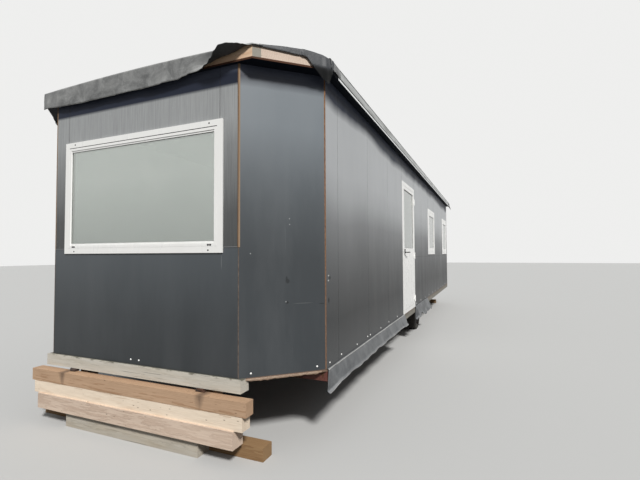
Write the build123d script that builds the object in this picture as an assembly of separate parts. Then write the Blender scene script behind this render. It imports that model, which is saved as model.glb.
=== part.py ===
from build123d import *
import math
import os

os.makedirs("parts", exist_ok=True)

# A static caravan on timber cribbing. Millimetres. X = 0 is the centreline, the canted front faces -Y, the
# doorway is in the +X side, and Z = 0 is the ground the sleepers and tyres stand on.

# Body
body_width = 3050
body_length = 10120
wall_height = 2330
cant_width = 506
cant_depth = 475
cladding_thickness = 12
core_thickness = 58
sheet_joint = 3
narrowest_sheet = 120

# Timber cribbing at each end, and the rails that it carries
sleeper_height = 125
low_beam_height = 130
mid_beam_height = 104
top_beam_height = 104
packer_thickness = 26
rail_height = 96
rail_depth = 105
rail_proud = 30
rail_end_past_corner = 40
side_rail_depth = 70
sleeper_depth = 130
low_beam_depth = 125
mid_beam_depth = 98
top_beam_depth = 92
sleeper_proud = 78
low_beam_proud = 112
mid_beam_proud = 98
top_beam_proud = 100
sleeper_short_of_corner = 300
low_beam_past_corner = 32
mid_beam_past_corner = 100
top_beam_past_corner = 132
ground_block_length = 780
ground_block_depth = 122
ground_block_height = 98
ground_block_past_corner = 178
packer_width = 70
crib_post_size = 100

# Floor deck and steel chassis
deck_thickness = 18
chassis_height = 120
chassis_flange = 50
chassis_steel = 6
chassis_centre = 700
crossmember_count = 7
crossmember_flange = 45
first_crossmember = 520
outrigger_tip_height = 45
outrigger_thickness = 6
header_flange = 35
wheel_radius = 265
tyre_width = 165
tyre_inset = 150
rim_radius = 178
rim_width = 132
rim_lip = 12
dish_depth = 42
tyre_shoulder = 22
brake_drum_radius = 88
axle_size = 60
axle_from_front = 5600
hub_radius = 55
hanger_width = 90
hanger_thickness = 12

# Door, hung on its rear edge and opening outwards
door_front = 3485
door_width = 980
door_height = 2000
frame_face = 55
frame_depth = 70
frame_proud = 8
frame_stop = 15
door_gap = 5
leaf_thickness = 50
door_stile = 42
glass_sill = 990
top_rail_height = 50
mid_rail_height = 130
bottom_rail_top = 130
panel_recess = 6
door_bead_face = 14
door_bead_depth = 12
glazing_thickness = 24
handle_height = 924
handle_backset = 62
plate_width = 42
plate_height = 100
plate_thickness = 8
spindle_size = 8
spindle_clearance = 0.5
lever_length = 120
lever_thickness = 16
lever_neck = 45
lever_bend = 14
knuckle_radius = 9
hinge_pin_radius = 4
pin_clearance = 0.1
knuckle_length = 34
knuckle_gap = 0.5
hinge_leaf_width = 30
hinge_plate = 4
hinge_axis_stand_off = 10
low_hinge_height = 153
mid_hinge_height = 870
top_hinge_below_head = 227

# Windows
front_window_inset = 140
front_window_sill = 918
front_window_head = 1934
front_seam_inset = 170
front_seam_height = 956
mid_window_front = 6164
rear_window_inset = 235
side_window_width = 1015
side_window_sill = 886
side_window_head = 1853
window_outer_face = 48
window_groove = 5
window_groove_depth = 7
side_sash_face = 62
window_bead_face = 22
window_bead_recess = 13
window_proud = 10
window_depth = 72

# Side sheets
sheet_pitch = 912
first_sheet_seam = 736
side_seam_height = 850
corner_batten_width = 16
corner_batten_proud = 2
corner_joint = 4

# Roof
soffit_thickness = 15
fascia_height = 85
fascia_thickness = 45
roof_board_edge = 20
roof_board_joint = 3
roof_board_joint_depth = 6
roof_rise = 45
eave_below_fascia = 15
front_overhang = 30
cant_overhang = 115
side_overhang = 75
rear_overhang = 100
membrane_thickness = 4
trim_height = 65
trim_thickness = 3
trim_start = 560
soffit_strip_drop = 2
front_flap_drop = 150
front_flap_half = 900
front_flap_stand_off = 14
front_flap_below_crown = 22
corner_flap_drop = 165
corner_flap_width = 115
skirt_drop = 182
skirt_flare = 45
skirt_strip = 30
skirt_thickness = 4
rear_skirt_length = 1400
soft_clearance = 0.3

# Heights that follow from the stack
low_beam_base = sleeper_height
mid_beam_base = low_beam_base + low_beam_height
top_beam_base = mid_beam_base + mid_beam_height
packer_base = top_beam_base + top_beam_height
rail_base = packer_base + packer_thickness
deck_top = rail_base + rail_height
deck_base = deck_top - deck_thickness
chassis_base = deck_base - chassis_height
wall_top = deck_top + wall_height
soffit_top = wall_top + soffit_thickness
fascia_top = soffit_top + fascia_height
roof_eave = fascia_top - eave_below_fascia

# Plan positions that follow from the body
half_width = body_width / 2
front = -body_length / 2
rear = body_length / 2
corner_x = half_width - cant_width
wall_thickness = cladding_thickness + core_thickness
inner_half_width = half_width - wall_thickness
cant_length = math.hypot(cant_width, cant_depth)
cant_normal_x = cant_depth / cant_length
cant_normal_y = -cant_width / cant_length
eave_x = half_width + side_overhang
side_window_fronts = (mid_window_front, body_length - rear_window_inset - side_window_width)


def block(x0, x1, y0, y1, z0, z1):
    """A box between two corners."""
    return Pos((x0 + x1) / 2, (y0 + y1) / 2, (z0 + z1) / 2) * Box(x1 - x0, y1 - y0, z1 - z0)


def prism(points, z0, z1):
    """A plan outline raised from z0 to z1."""
    face = make_face(Polyline(*[(x, y, z0) for x, y in points], close=True))
    return extrude(face, z1 - z0, dir=(0, 0, 1))


def profile_along_y(points, y0, y1):
    """An outline in X and Z run along Y."""
    face = make_face(Polyline(*[(x, y0, z) for x, z in points], close=True))
    return extrude(face, y1 - y0, dir=(0, 1, 0))


def mirrored(solids):
    """The same pieces on the other side of the centreline."""
    return [mirror(solid, about=Plane.YZ) for solid in solids]


def both_sides(solids):
    return list(solids) + mirrored(solids)


def both_ends(solids):
    """The same pieces at the front and the rear."""
    return list(solids) + [mirror(solid, about=Plane.XZ) for solid in solids]


def save(name, solids):
    """One node, of one solid or of several that don't touch."""
    shape = solids[0] if len(solids) == 1 else Compound(children=list(solids))
    export_step(shape, f"parts/{name}.step")


def cant_x(y, offset):
    """Where a line beside the canted wall, offset outwards, crosses a plane of constant y."""
    return corner_x + (offset - cant_normal_y * (y - front)) / cant_normal_x


def cant_y(x, offset):
    """Where the same line crosses a plane of constant x."""
    return front + (offset - cant_normal_x * (x - corner_x)) / cant_normal_y


def body_outline(front_out, cant_out, side_out, rear_out):
    """The plan of the body, each side moved outwards by its own amount."""
    y_front = front - front_out
    x_side = half_width + side_out
    right = [
        (cant_x(y_front, cant_out), y_front),
        (x_side, cant_y(x_side, cant_out)),
        (x_side, rear + rear_out),
    ]
    left = [(-x, y) for x, y in reversed(right)]
    return right + left


# Timber cribbing
def crib_beam(past_corner, proud, depth, base, height):
    reach = corner_x + past_corner
    return block(-reach, reach, front - proud, front - proud + depth, base, base + height)


def cribbing():
    sleeper = crib_beam(-sleeper_short_of_corner, sleeper_proud, sleeper_depth, 0, sleeper_height)
    save("crib_sleepers", both_ends([sleeper]))
    low = crib_beam(low_beam_past_corner, low_beam_proud, low_beam_depth, low_beam_base, low_beam_height)
    save("crib_beams_low", both_ends([low]))
    mid = crib_beam(mid_beam_past_corner, mid_beam_proud, mid_beam_depth, mid_beam_base, mid_beam_height)
    save("crib_beams_mid", both_ends([mid]))
    top = crib_beam(top_beam_past_corner, top_beam_proud, top_beam_depth, top_beam_base, top_beam_height)
    save("crib_beams_top", both_ends([top]))
    block_front = front - sleeper_proud + sleeper_depth
    block_end = corner_x + ground_block_past_corner
    ground_block = block(
        block_end - ground_block_length,
        block_end,
        block_front,
        block_front + ground_block_depth,
        0,
        ground_block_height,
    )
    save("crib_ground_blocks", both_ends(both_sides([ground_block])))
    post_front = front - rail_proud + rail_depth
    post = block(
        chassis_centre - crib_post_size / 2,
        chassis_centre + crib_post_size / 2,
        post_front,
        post_front + crib_post_size,
        ground_block_height,
        chassis_base,
    )
    save("crib_posts", both_ends(both_sides([post])))
    packer = block(
        chassis_centre - packer_width / 2,
        chassis_centre + packer_width / 2,
        front - rail_proud,
        front - top_beam_proud + top_beam_depth,
        packer_base,
        rail_base,
    )
    save("crib_packers", both_ends(both_sides([packer])))


# Rails, deck and chassis
rail_back = front - rail_proud + rail_depth
rail_reach = corner_x + rail_end_past_corner
side_rail_front = front + cant_depth


def rails_and_deck():
    end_rail = block(-rail_reach, rail_reach, front - rail_proud, rail_back, rail_base, deck_top)
    save("rails_end", both_ends([end_rail]))
    side_rail = block(
        half_width - side_rail_depth,
        half_width,
        side_rail_front + header_flange,
        rear,
        rail_base,
        deck_base,
    )
    save("rails_side", both_sides([side_rail]))
    deck = prism(body_outline(0, 0, 0, 0), deck_base, deck_top)
    notch = block(-rail_reach, rail_reach, front - rail_proud, rail_back, deck_base, deck_top)
    deck = deck - notch - mirror(notch, about=Plane.XZ)
    save("floor_deck", [deck])


def channel(length, height, flange):
    """A channel along Y, its web on X = 0 and its flanges towards +X."""
    half = height / 2
    steel = chassis_steel
    points = [
        (0, -half),
        (flange, -half),
        (flange, -half + steel),
        (steel, -half + steel),
        (steel, half - steel),
        (flange, half - steel),
        (flange, half),
        (0, half),
    ]
    return profile_along_y(points, 0, length)


def chassis():
    middle = chassis_base + chassis_height / 2
    web_x = chassis_centre - chassis_flange / 2
    beam_length = -2 * rail_back
    beam = Pos(web_x, rail_back, middle) * channel(beam_length, chassis_height, chassis_flange)
    save("chassis_beams", both_sides([beam]))

    last = body_length - first_crossmember
    step = (last - first_crossmember) / (crossmember_count - 1)
    crossmembers = []
    outriggers = []
    tip_x = half_width - side_rail_depth
    inner_top = deck_base - chassis_steel
    inner_base = chassis_base + chassis_steel
    wheel_front = front + axle_from_front - wheel_radius
    wheel_back = front + axle_from_front + wheel_radius
    for index in range(crossmember_count):
        y = front + first_crossmember + index * step
        cross = Pos(-web_x, y, middle) * Rot(0, 0, -90) * channel(2 * web_x, chassis_height, crossmember_flange)
        crossmembers.append(cross)
        if index == 0 or wheel_front - crossmember_flange < y < wheel_back + crossmember_flange:
            continue
        plate = [
            (web_x + chassis_steel, inner_base),
            (web_x + chassis_flange, inner_base),
            (tip_x, deck_base - outrigger_tip_height),
            (tip_x, deck_base),
            (web_x + chassis_flange, deck_base),
            (web_x + chassis_flange, inner_top),
            (web_x + chassis_steel, inner_top),
        ]
        outriggers.append(profile_along_y(plate, y - outrigger_thickness, y))

    header_height = deck_base - rail_base
    header_length = half_width - web_x - chassis_flange
    header_place = Pos(half_width, side_rail_front, rail_base + header_height / 2) * Rot(0, 0, 90)
    header = header_place * channel(header_length, header_height, header_flange)
    save("chassis_crossmembers", crossmembers + both_sides(outriggers + [header]))


def running_gear():
    y = front + axle_from_front
    tyre_outer = half_width - tyre_inset
    tyre_inner = tyre_outer - tyre_width
    axle_reach = tyre_inner - hanger_thickness
    axle = block(-axle_reach, axle_reach, y - axle_size / 2, y + axle_size / 2, wheel_radius - axle_size / 2,
                 wheel_radius + axle_size / 2)
    web_x = chassis_centre - chassis_flange / 2
    for side in (-1, 1):
        hanger = block(web_x, web_x + hanger_thickness, y - hanger_width / 2, y + hanger_width / 2,
                       wheel_radius, chassis_base)
        axle += hanger if side > 0 else mirror(hanger, about=Plane.YZ)
        drum_face = axle_reach if side > 0 else -tyre_inner
        drum = Pos(drum_face + hanger_thickness / 2, y, wheel_radius) * Rot(0, 90, 0)
        axle += drum * Cylinder(brake_drum_radius, hanger_thickness)
    save("axle", [axle])

    tyre_profile = Rectangle(tyre_width, wheel_radius - rim_radius)
    tyre_profile = chamfer(tyre_profile.vertices().sort_by(Axis.Y)[-2:], tyre_shoulder)
    middle_x = (tyre_outer + tyre_inner) / 2
    ring = Plane.XZ * Pos(0, (wheel_radius + rim_radius) / 2) * tyre_profile
    tyre = Pos(middle_x, y, wheel_radius) * revolve(ring, Axis.X, 360)
    save("tyres", both_sides([tyre]))
    rim = Pos(middle_x, y, wheel_radius) * Rot(0, 90, 0) * Cylinder(rim_radius, rim_width)
    dish_x = middle_x + (rim_width - dish_depth) / 2
    dish = Pos(dish_x, y, wheel_radius) * Rot(0, 90, 0)
    rim -= dish * Cylinder(rim_radius - rim_lip, dish_depth)
    rim += dish * Cylinder(hub_radius, dish_depth)
    spigot_end = middle_x - rim_width / 2
    spigot = Pos((tyre_inner + spigot_end) / 2, y, wheel_radius) * Rot(0, 90, 0)
    rim += spigot * Cylinder(hub_radius, spigot_end - tyre_inner)
    save("wheel_rims", both_sides([rim]))


# Walls
core_out = -cladding_thickness
core_in = -wall_thickness
door_back = door_front + door_width
door_head = deck_top + door_height


def front_line(y_offset, cant_offset):
    """Half the width of the front wall, in its plane moved outwards by y_offset."""
    return cant_x(front - y_offset, cant_offset)


def window_cut(y_from_front, sill, head, width):
    """The hole of one side window, through the wall on the +X side."""
    return block(
        inner_half_width - wall_thickness,
        half_width + wall_thickness,
        front + y_from_front,
        front + y_from_front + width,
        deck_top + sill,
        deck_top + head,
    )


def wall_cores():
    outer = front_line(core_out, core_out)
    inner = front_line(core_in, core_in)
    front_wall = prism(
        [(-outer, front - core_out), (outer, front - core_out), (inner, front - core_in), (-inner, front - core_in)],
        deck_top,
        wall_top,
    )
    window_half = corner_x - front_window_inset
    front_wall -= block(
        -window_half,
        window_half,
        front - wall_thickness,
        front + 2 * wall_thickness,
        deck_top + front_window_sill,
        deck_top + front_window_head,
    )
    save("wall_front", [front_wall])

    side_outer = half_width - cladding_thickness
    canted = prism(
        [
            (outer, front - core_out),
            (side_outer, cant_y(side_outer, core_out)),
            (inner_half_width, cant_y(inner_half_width, core_in)),
            (inner, front - core_in),
        ],
        deck_top,
        wall_top,
    )
    save("walls_canted", both_sides([canted]))

    corner = [(side_outer, cant_y(side_outer, core_out)), (inner_half_width, cant_y(inner_half_width, core_in))]
    y_door = front + door_front
    fore = prism(corner + [(inner_half_width, y_door), (side_outer, y_door)], deck_top, wall_top)
    save("wall_right_front", [fore])
    over = block(inner_half_width, side_outer, y_door, front + door_back, door_head, wall_top)
    save("wall_right_over_door", [over])
    y_rear = rear - cladding_thickness
    aft = block(inner_half_width, side_outer, front + door_back, y_rear, deck_top, wall_top)
    side = prism(corner + [(inner_half_width, y_rear), (side_outer, y_rear)], deck_top, wall_top)
    for start in side_window_fronts:
        cut = window_cut(start, side_window_sill, side_window_head, side_window_width)
        aft -= cut
        side -= cut
    save("wall_right_rear", [aft])
    save("wall_left", mirrored([side]))
    rear_wall = block(-inner_half_width, inner_half_width, rear - wall_thickness, y_rear, deck_top, wall_top)
    save("wall_rear", [rear_wall])


# Cladding sheets
def cladding_front():
    inner_y = front + cladding_thickness
    seam = deck_top + front_seam_height
    window_half = corner_x - front_window_inset
    sill = deck_top + front_window_sill
    head = deck_top + front_window_head
    inner = front_line(core_out, core_out)
    plan = [(-corner_x, front), (corner_x, front), (inner, inner_y), (-inner, inner_y)]
    lower = prism(plan, deck_top, seam - sheet_joint / 2)
    lower -= block(
        -window_half - sheet_joint,
        window_half + sheet_joint,
        front - cladding_thickness,
        inner_y + cladding_thickness,
        sill - sheet_joint,
        seam,
    )
    save("cladding_front_lower", [lower])
    upper_base = seam + sheet_joint / 2
    seam_x = corner_x - front_seam_inset
    batten_x = corner_x - corner_batten_width / 2
    strip = block(window_half + sheet_joint, batten_x, front, inner_y, upper_base, head + sheet_joint)
    shoulder = block(seam_x + sheet_joint / 2, batten_x, front, inner_y, head + sheet_joint, wall_top)
    over = block(-seam_x + sheet_joint / 2, seam_x - sheet_joint / 2, front, inner_y, head + sheet_joint, wall_top)
    save("cladding_front_upper", both_sides([strip + shoulder]) + [over])


def cladding_canted():
    side_inner = half_width - cladding_thickness
    mitre_x = corner_x + corner_joint * cant_width / cant_length
    inner_x = front_line(core_out, core_out) + corner_joint * cant_width / cant_length
    points = [
        (mitre_x, cant_y(mitre_x, 0)),
        (side_inner, cant_y(side_inner, 0)),
        (side_inner, cant_y(side_inner, core_out)),
        (inner_x, cant_y(inner_x, core_out)),
    ]
    sheet = prism(points, deck_top, wall_top)
    batten_base = deck_top + front_seam_height
    notch = block(
        corner_x - corner_batten_width,
        corner_x + corner_batten_width / 2,
        front - cladding_thickness,
        front + 2 * corner_batten_width,
        batten_base,
        wall_top,
    )
    save("cladding_canted", both_sides([sheet - notch]))


def corner_battens():
    """The strips that cover the upper half of the two front corners."""
    half = corner_batten_width / 2
    proud = corner_batten_proud
    points = [
        (corner_x - half, front - proud),
        (corner_x, front - proud),
        (corner_x + half, cant_y(corner_x + half, proud)),
        (corner_x + half, cant_y(corner_x + half, core_out)),
        (cant_x(front - core_out, core_out), front - core_out),
        (corner_x - half, front - core_out),
    ]
    batten = prism(points, deck_top + front_seam_height + sheet_joint / 2, wall_top)
    save("corner_battens", both_sides([batten]))


def side_sheets(with_door):
    """The sheets of one long side, on the +X side, as boxes between the seams."""
    x0 = half_width - cladding_thickness
    x1 = half_width
    gap = sheet_joint / 2
    start = cant_y(x0, 0) - front
    seam = side_seam_height + deck_top
    sheets = []

    def sheet(y0, y1, z0, z1):
        sheets.append(block(x0, x1, front + y0, front + y1, z0, z1))

    seams = [first_sheet_seam + index * sheet_pitch for index in range(int(body_length / sheet_pitch))]
    seams = [y for y in seams if y < body_length - narrowest_sheet]
    edges = [start] + seams + [body_length - cladding_thickness]
    if with_door:
        fore = [y for y in edges if y < door_front - narrowest_sheet] + [door_front - gap]
        for y0, y1 in zip(fore, fore[1:]):
            sheet(y0 + (gap if y0 > start else 0), y1 - gap, deck_top, wall_top)
        sheet(door_front + gap, door_back - gap, door_head + sheet_joint, wall_top)
        lower = [door_back + gap] + [y for y in edges if y > door_back + narrowest_sheet]
    else:
        lower = edges
    for y0, y1 in zip(lower, lower[1:]):
        first = gap if y0 > start else 0
        last = gap if y1 < edges[-1] else 0
        sheet(y0 + first, y1 - last, deck_top, seam - gap)

    upper_marks = [lower[0]]
    for opening in side_window_fronts:
        nearest = upper_marks[-1] + narrowest_sheet
        inside = [y for y in lower[1:-1] if nearest < y < opening - narrowest_sheet]
        upper_marks += inside + [opening, opening + side_window_width]
    upper_marks.append(lower[-1])
    for y0, y1 in zip(upper_marks, upper_marks[1:]):
        first = gap if y0 > start else 0
        last = gap if y1 < edges[-1] else 0
        if y0 in side_window_fronts:
            sheet(y0 + first, y1 - last, deck_top + side_window_head + sheet_joint, wall_top)
            sheet(y0 + first, y1 - last, seam + gap, deck_top + side_window_sill - sheet_joint)
        elif y0 - side_window_width in side_window_fronts or y0 > start:
            sheet(y0 + gap, y1 - last, seam + gap, wall_top)
        else:
            sheet(y0, y1 - last, seam + gap, wall_top)
    return sheets


def cladding_sides():
    save("cladding_right", side_sheets(True))
    save("cladding_left", mirrored(side_sheets(False)))


def cladding_rear():
    count = round(body_width / sheet_pitch)
    step = body_width / count
    sheets = []
    for index in range(count):
        x0 = -half_width + index * step + (sheet_joint / 2 if index else 0)
        x1 = -half_width + (index + 1) * step - (sheet_joint / 2 if index < count - 1 else 0)
        sheets.append(block(x0, x1, rear - cladding_thickness, rear, deck_top, wall_top))
    save("cladding_rear", sheets)


# Windows
def bevelled_cut(width, height, face, depth):
    """A sloping bead round an opening: wider by the bead's face on Y = 0, the opening's size at its depth."""
    mouth = Plane.XZ * Rectangle(width + 2 * face, height + 2 * face)
    throat = Pos(0, depth, 0) * Plane.XZ * Rectangle(width, height)
    return loft([mouth, throat])


def light_inset(sash_face):
    """How far the glass starts inside the frame's outer edge."""
    return window_outer_face + window_groove + sash_face + window_bead_face


def window_frame(width, height, sash_face):
    """A closed window about the origin in X and Z, its outer face on Y = 0 and its depth towards +Y: a flat
    face, a groove, the sash's face where it has one, and a sloping bead down to the glass."""
    outer = Pos(0, window_depth / 2, 0) * Box(width, window_depth, height)
    light_width = width - 2 * light_inset(sash_face)
    light_height = height - 2 * light_inset(sash_face)
    through = Pos(0, window_depth / 2, 0) * Box(light_width, 2 * window_depth, light_height)
    groove_width = width - 2 * window_outer_face
    groove_height = height - 2 * window_outer_face
    groove = Pos(0, window_groove_depth / 2, 0) * (
        Box(groove_width, window_groove_depth, groove_height)
        - Box(groove_width - 2 * window_groove, 2 * window_groove_depth, groove_height - 2 * window_groove)
    )
    bead = bevelled_cut(light_width, light_height, window_bead_face, window_bead_recess)
    return outer - groove - bead - through


def window_pane(width, height, sash_face):
    pane_y = window_bead_recess + glazing_thickness / 2
    pane_width = width - 2 * light_inset(sash_face)
    pane_height = height - 2 * light_inset(sash_face)
    return Pos(0, pane_y, 0) * Box(pane_width, glazing_thickness, pane_height)


def windows():
    front_width = 2 * (corner_x - front_window_inset)
    front_height = front_window_head - front_window_sill
    front_place = Pos(0, front - window_proud, deck_top + (front_window_sill + front_window_head) / 2)
    save("window_front_frame", [front_place * window_frame(front_width, front_height, 0)])
    panes = [front_place * window_pane(front_width, front_height, 0)]
    frames = []
    side_height = side_window_head - side_window_sill
    side_middle = deck_top + (side_window_sill + side_window_head) / 2
    for start in side_window_fronts:
        place = Pos(half_width + window_proud, front + start + side_window_width / 2, side_middle) * Rot(0, 0, 90)
        frames.append(place * window_frame(side_window_width, side_height, side_sash_face))
        panes += both_sides([place * window_pane(side_window_width, side_height, side_sash_face)])
    save("window_side_frames", both_sides(frames))
    save("window_glass", panes)


# Door
door_face = half_width + frame_proud
leaf_front = door_front + frame_face + door_gap
leaf_back = door_back - frame_face - door_gap
leaf_base = deck_top + frame_face + door_gap
leaf_top = door_head - frame_face - door_gap
leaf_inner = door_face - leaf_thickness
hinge_axis_x = door_face + hinge_axis_stand_off
hinge_axis_y = front + door_back - frame_face - door_gap / 2
glass_front = leaf_front + door_stile
glass_back = leaf_back - door_stile
glass_head = door_height - frame_face - door_gap - top_rail_height
hinge_heights = (low_hinge_height, mid_hinge_height, door_height - top_hinge_below_head)


def door_frame():
    y0 = front + door_front
    y1 = front + door_back
    inner_x = door_face - frame_depth
    frame = block(inner_x, door_face, y0, y1, deck_top, door_head)
    clear = block(
        inner_x - frame_depth,
        door_face + frame_depth,
        y0 + frame_face + frame_stop,
        y1 - frame_face - frame_stop,
        deck_top + frame_face + frame_stop,
        door_head - frame_face - frame_stop,
    )
    stop_x = leaf_inner - door_gap
    rebate = block(
        stop_x,
        door_face + frame_depth,
        y0 + frame_face,
        y1 - frame_face,
        deck_top + frame_face,
        door_head - frame_face,
    )
    save("door_frame", [frame - clear - rebate])


def spindle_hole(radius):
    hole = Pos(half_width, front + leaf_front + handle_backset, deck_top + handle_height)
    return hole * Rot(0, 90, 0) * Cylinder(radius, 4 * leaf_thickness)


def door_bead(sill, head, face, depth):
    """A sloping bead cut into the outer face of the leaf, round the glass or the panel."""
    place = Pos(door_face, front + (glass_front + glass_back) / 2, deck_top + (sill + head) / 2) * Rot(0, 0, 90)
    return place * bevelled_cut(glass_back - glass_front, head - sill, face, depth)


def door_leaf():
    leaf = block(leaf_inner, door_face, front + leaf_front, front + leaf_back, leaf_base, leaf_top)
    leaf -= block(
        leaf_inner - door_gap,
        door_face + door_gap,
        front + glass_front,
        front + glass_back,
        deck_top + glass_sill,
        deck_top + glass_head,
    )
    leaf -= door_bead(glass_sill, glass_head, door_bead_face, door_bead_depth)
    leaf -= door_bead(bottom_rail_top, glass_sill - mid_rail_height, door_bead_face, panel_recess)
    leaf -= spindle_hole(spindle_size / 2 + spindle_clearance)
    save("door_leaf", [leaf])
    middle = (leaf_inner + door_face) / 2
    pane = block(
        middle - glazing_thickness / 2,
        middle + glazing_thickness / 2,
        front + glass_front,
        front + glass_back,
        deck_top + glass_sill,
        deck_top + glass_head,
    )
    save("door_glass", [pane])


def bent_lever(side):
    """A round bar that stands out from its plate and turns along the leaf towards the hinges."""
    reach = side * lever_neck
    path = FilletPolyline((0, 0, 0), (reach, 0, 0), (reach, lever_length, 0), radius=lever_bend)
    section = Plane(origin=(0, 0, 0), z_dir=(side, 0, 0)) * Circle(lever_thickness / 2)
    return sweep(section, path)


def door_handle():
    y = front + leaf_front + handle_backset
    z = deck_top + handle_height
    plates = []
    for face, side in ((door_face, 1), (leaf_inner, -1)):
        plate = Pos(face + side * plate_thickness / 2, y, z) * Box(plate_thickness, plate_width, plate_height)
        plates.append(plate - spindle_hole(spindle_size / 2 + spindle_clearance))
    save("door_handle_plates", plates)
    outer_face = door_face + plate_thickness + spindle_clearance
    inner_face = leaf_inner - plate_thickness - spindle_clearance
    spindle = Pos((outer_face + inner_face) / 2, y, z) * Rot(0, 90, 0)
    handle = spindle * Cylinder(spindle_size / 2, outer_face - inner_face)
    handle += Pos(outer_face, y, z) * bent_lever(1)
    handle += Pos(inner_face, y, z) * bent_lever(-1)
    save("lever_handle", [handle])


def hinge(middle):
    """One hinge: a frame half with the pin and two knuckles, and a leaf half with the knuckle between them."""
    axis = Pos(hinge_axis_x, hinge_axis_y, deck_top + middle)
    frame_half = axis * Cylinder(hinge_pin_radius, 3 * knuckle_length)
    offset = knuckle_length + knuckle_gap
    end_length = knuckle_length - knuckle_gap
    for side in (-1, 1):
        frame_half += axis * Pos(0, 0, side * offset) * Cylinder(knuckle_radius, end_length)
        strap = block(
            door_face,
            door_face + hinge_plate,
            hinge_axis_y + door_gap / 2,
            hinge_axis_y + hinge_leaf_width,
            deck_top + middle + side * offset - end_length / 2,
            deck_top + middle + side * offset + end_length / 2,
        )
        web = block(
            door_face,
            hinge_axis_x,
            hinge_axis_y + door_gap / 2,
            hinge_axis_y + knuckle_radius,
            deck_top + middle + side * offset - end_length / 2,
            deck_top + middle + side * offset + end_length / 2,
        )
        frame_half += strap + web
    z0 = deck_top + middle - knuckle_length / 2
    z1 = deck_top + middle + knuckle_length / 2
    leaf_half = axis * Cylinder(knuckle_radius, knuckle_length)
    leaf_half += block(door_face, hinge_axis_x, hinge_axis_y - knuckle_radius, hinge_axis_y - door_gap / 2, z0, z1)
    leaf_half += block(
        door_face, door_face + hinge_plate, hinge_axis_y - hinge_leaf_width, hinge_axis_y - door_gap / 2, z0, z1
    )
    leaf_half -= axis * Cylinder(hinge_pin_radius + pin_clearance, 3 * knuckle_length)
    return frame_half, leaf_half


def door_hinges():
    pairs = [hinge(middle) for middle in hinge_heights]
    save("door_hinges_frame", [pair[0] for pair in pairs])
    save("door_hinges_leaf", [pair[1] for pair in pairs])


# Roof
def roof_vault(base, lift):
    """Everything between a level base and the cambered roof surface, raised by lift."""
    reach = eave_x + fascia_thickness
    crown = roof_eave + roof_rise + lift
    drop = roof_rise * (reach / eave_x) ** 2
    left = (-reach, front - body_width, crown - drop)
    right = (reach, front - body_width, crown - drop)
    arc = ThreePointArc(left, (0, front - body_width, crown), right)
    legs = Polyline(right, (reach, front - body_width, base), (-reach, front - body_width, base), left)
    return extrude(make_face(arc + legs), body_length + 2 * body_width, dir=(0, 1, 0))


def roof():
    edge = (front_overhang, cant_overhang, side_overhang, rear_overhang)
    save("soffit_board", [prism(body_outline(*edge), wall_top, soffit_top)])
    inner_edge = [out - fascia_thickness for out in edge]
    vault = roof_vault(soffit_top, 0)
    outer_plan = prism(body_outline(*edge), soffit_top, fascia_top + roof_rise)
    inner_plan = prism(body_outline(*inner_edge), soffit_top, fascia_top + roof_rise)
    save("roof_core", [vault & inner_plan])

    ring = (outer_plan & vault) - inner_plan
    y_front = front - front_overhang
    beam_back = y_front + fascia_thickness
    short = cant_x(y_front, cant_overhang)
    long = cant_x(beam_back, cant_overhang)
    front_plan = [(-short, y_front), (short, y_front), (long, beam_back), (-long, beam_back)]
    face_edge = [out - roof_board_joint_depth for out in edge]
    face_plan = prism(body_outline(*face_edge), soffit_top, fascia_top + roof_rise)
    under_boards = roof_vault(soffit_top, -roof_board_edge)
    joint = under_boards - roof_vault(soffit_top, -roof_board_edge - roof_board_joint) - face_plan
    front_beam = (vault & prism(front_plan, soffit_top, fascia_top + roof_rise)) - joint
    rear_beam = ring & block(-eave_x, eave_x, rear + rear_overhang - fascia_thickness, rear + rear_overhang,
                             soffit_top, fascia_top + roof_rise)
    save("fascia_end_beams", [front_beam.solids()[0], rear_beam.solids()[0]])
    rest = ring - front_beam - rear_beam
    y_turn = cant_y(eave_x, cant_overhang)
    y_ends = rear + rear_overhang - fascia_thickness
    boards = rest & block(eave_x - fascia_thickness, eave_x, y_turn, y_ends, soffit_top, fascia_top + roof_rise)
    boards_left = rest & block(-eave_x, fascia_thickness - eave_x, y_turn, y_ends, soffit_top,
                               fascia_top + roof_rise)
    save("eave_boards", [boards.solids()[0], boards_left.solids()[0]])
    canted = rest - boards - boards_left - joint
    save("fascia_canted", list(canted.solids()))

    skin = roof_vault(soffit_top, membrane_thickness) - vault
    save("roof_membrane", [skin & prism(body_outline(*edge), soffit_top, fascia_top + 2 * roof_rise)])


def eave_trims():
    """The metal edge of each long side, and the strip along the soffit below it."""
    top = roof_eave + membrane_thickness + trim_thickness
    face = [
        (eave_x, top - trim_height),
        (eave_x + trim_thickness, top - trim_height),
        (eave_x + trim_thickness, top),
        (eave_x, top),
    ]
    y0 = front + trim_start
    y1 = rear + rear_overhang
    trim = profile_along_y(face, y0, y1)
    strip = block(eave_x, eave_x + trim_thickness, y0, y1, wall_top - soffit_strip_drop, soffit_top)
    save("eave_trims", both_sides([trim, strip]))


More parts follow.
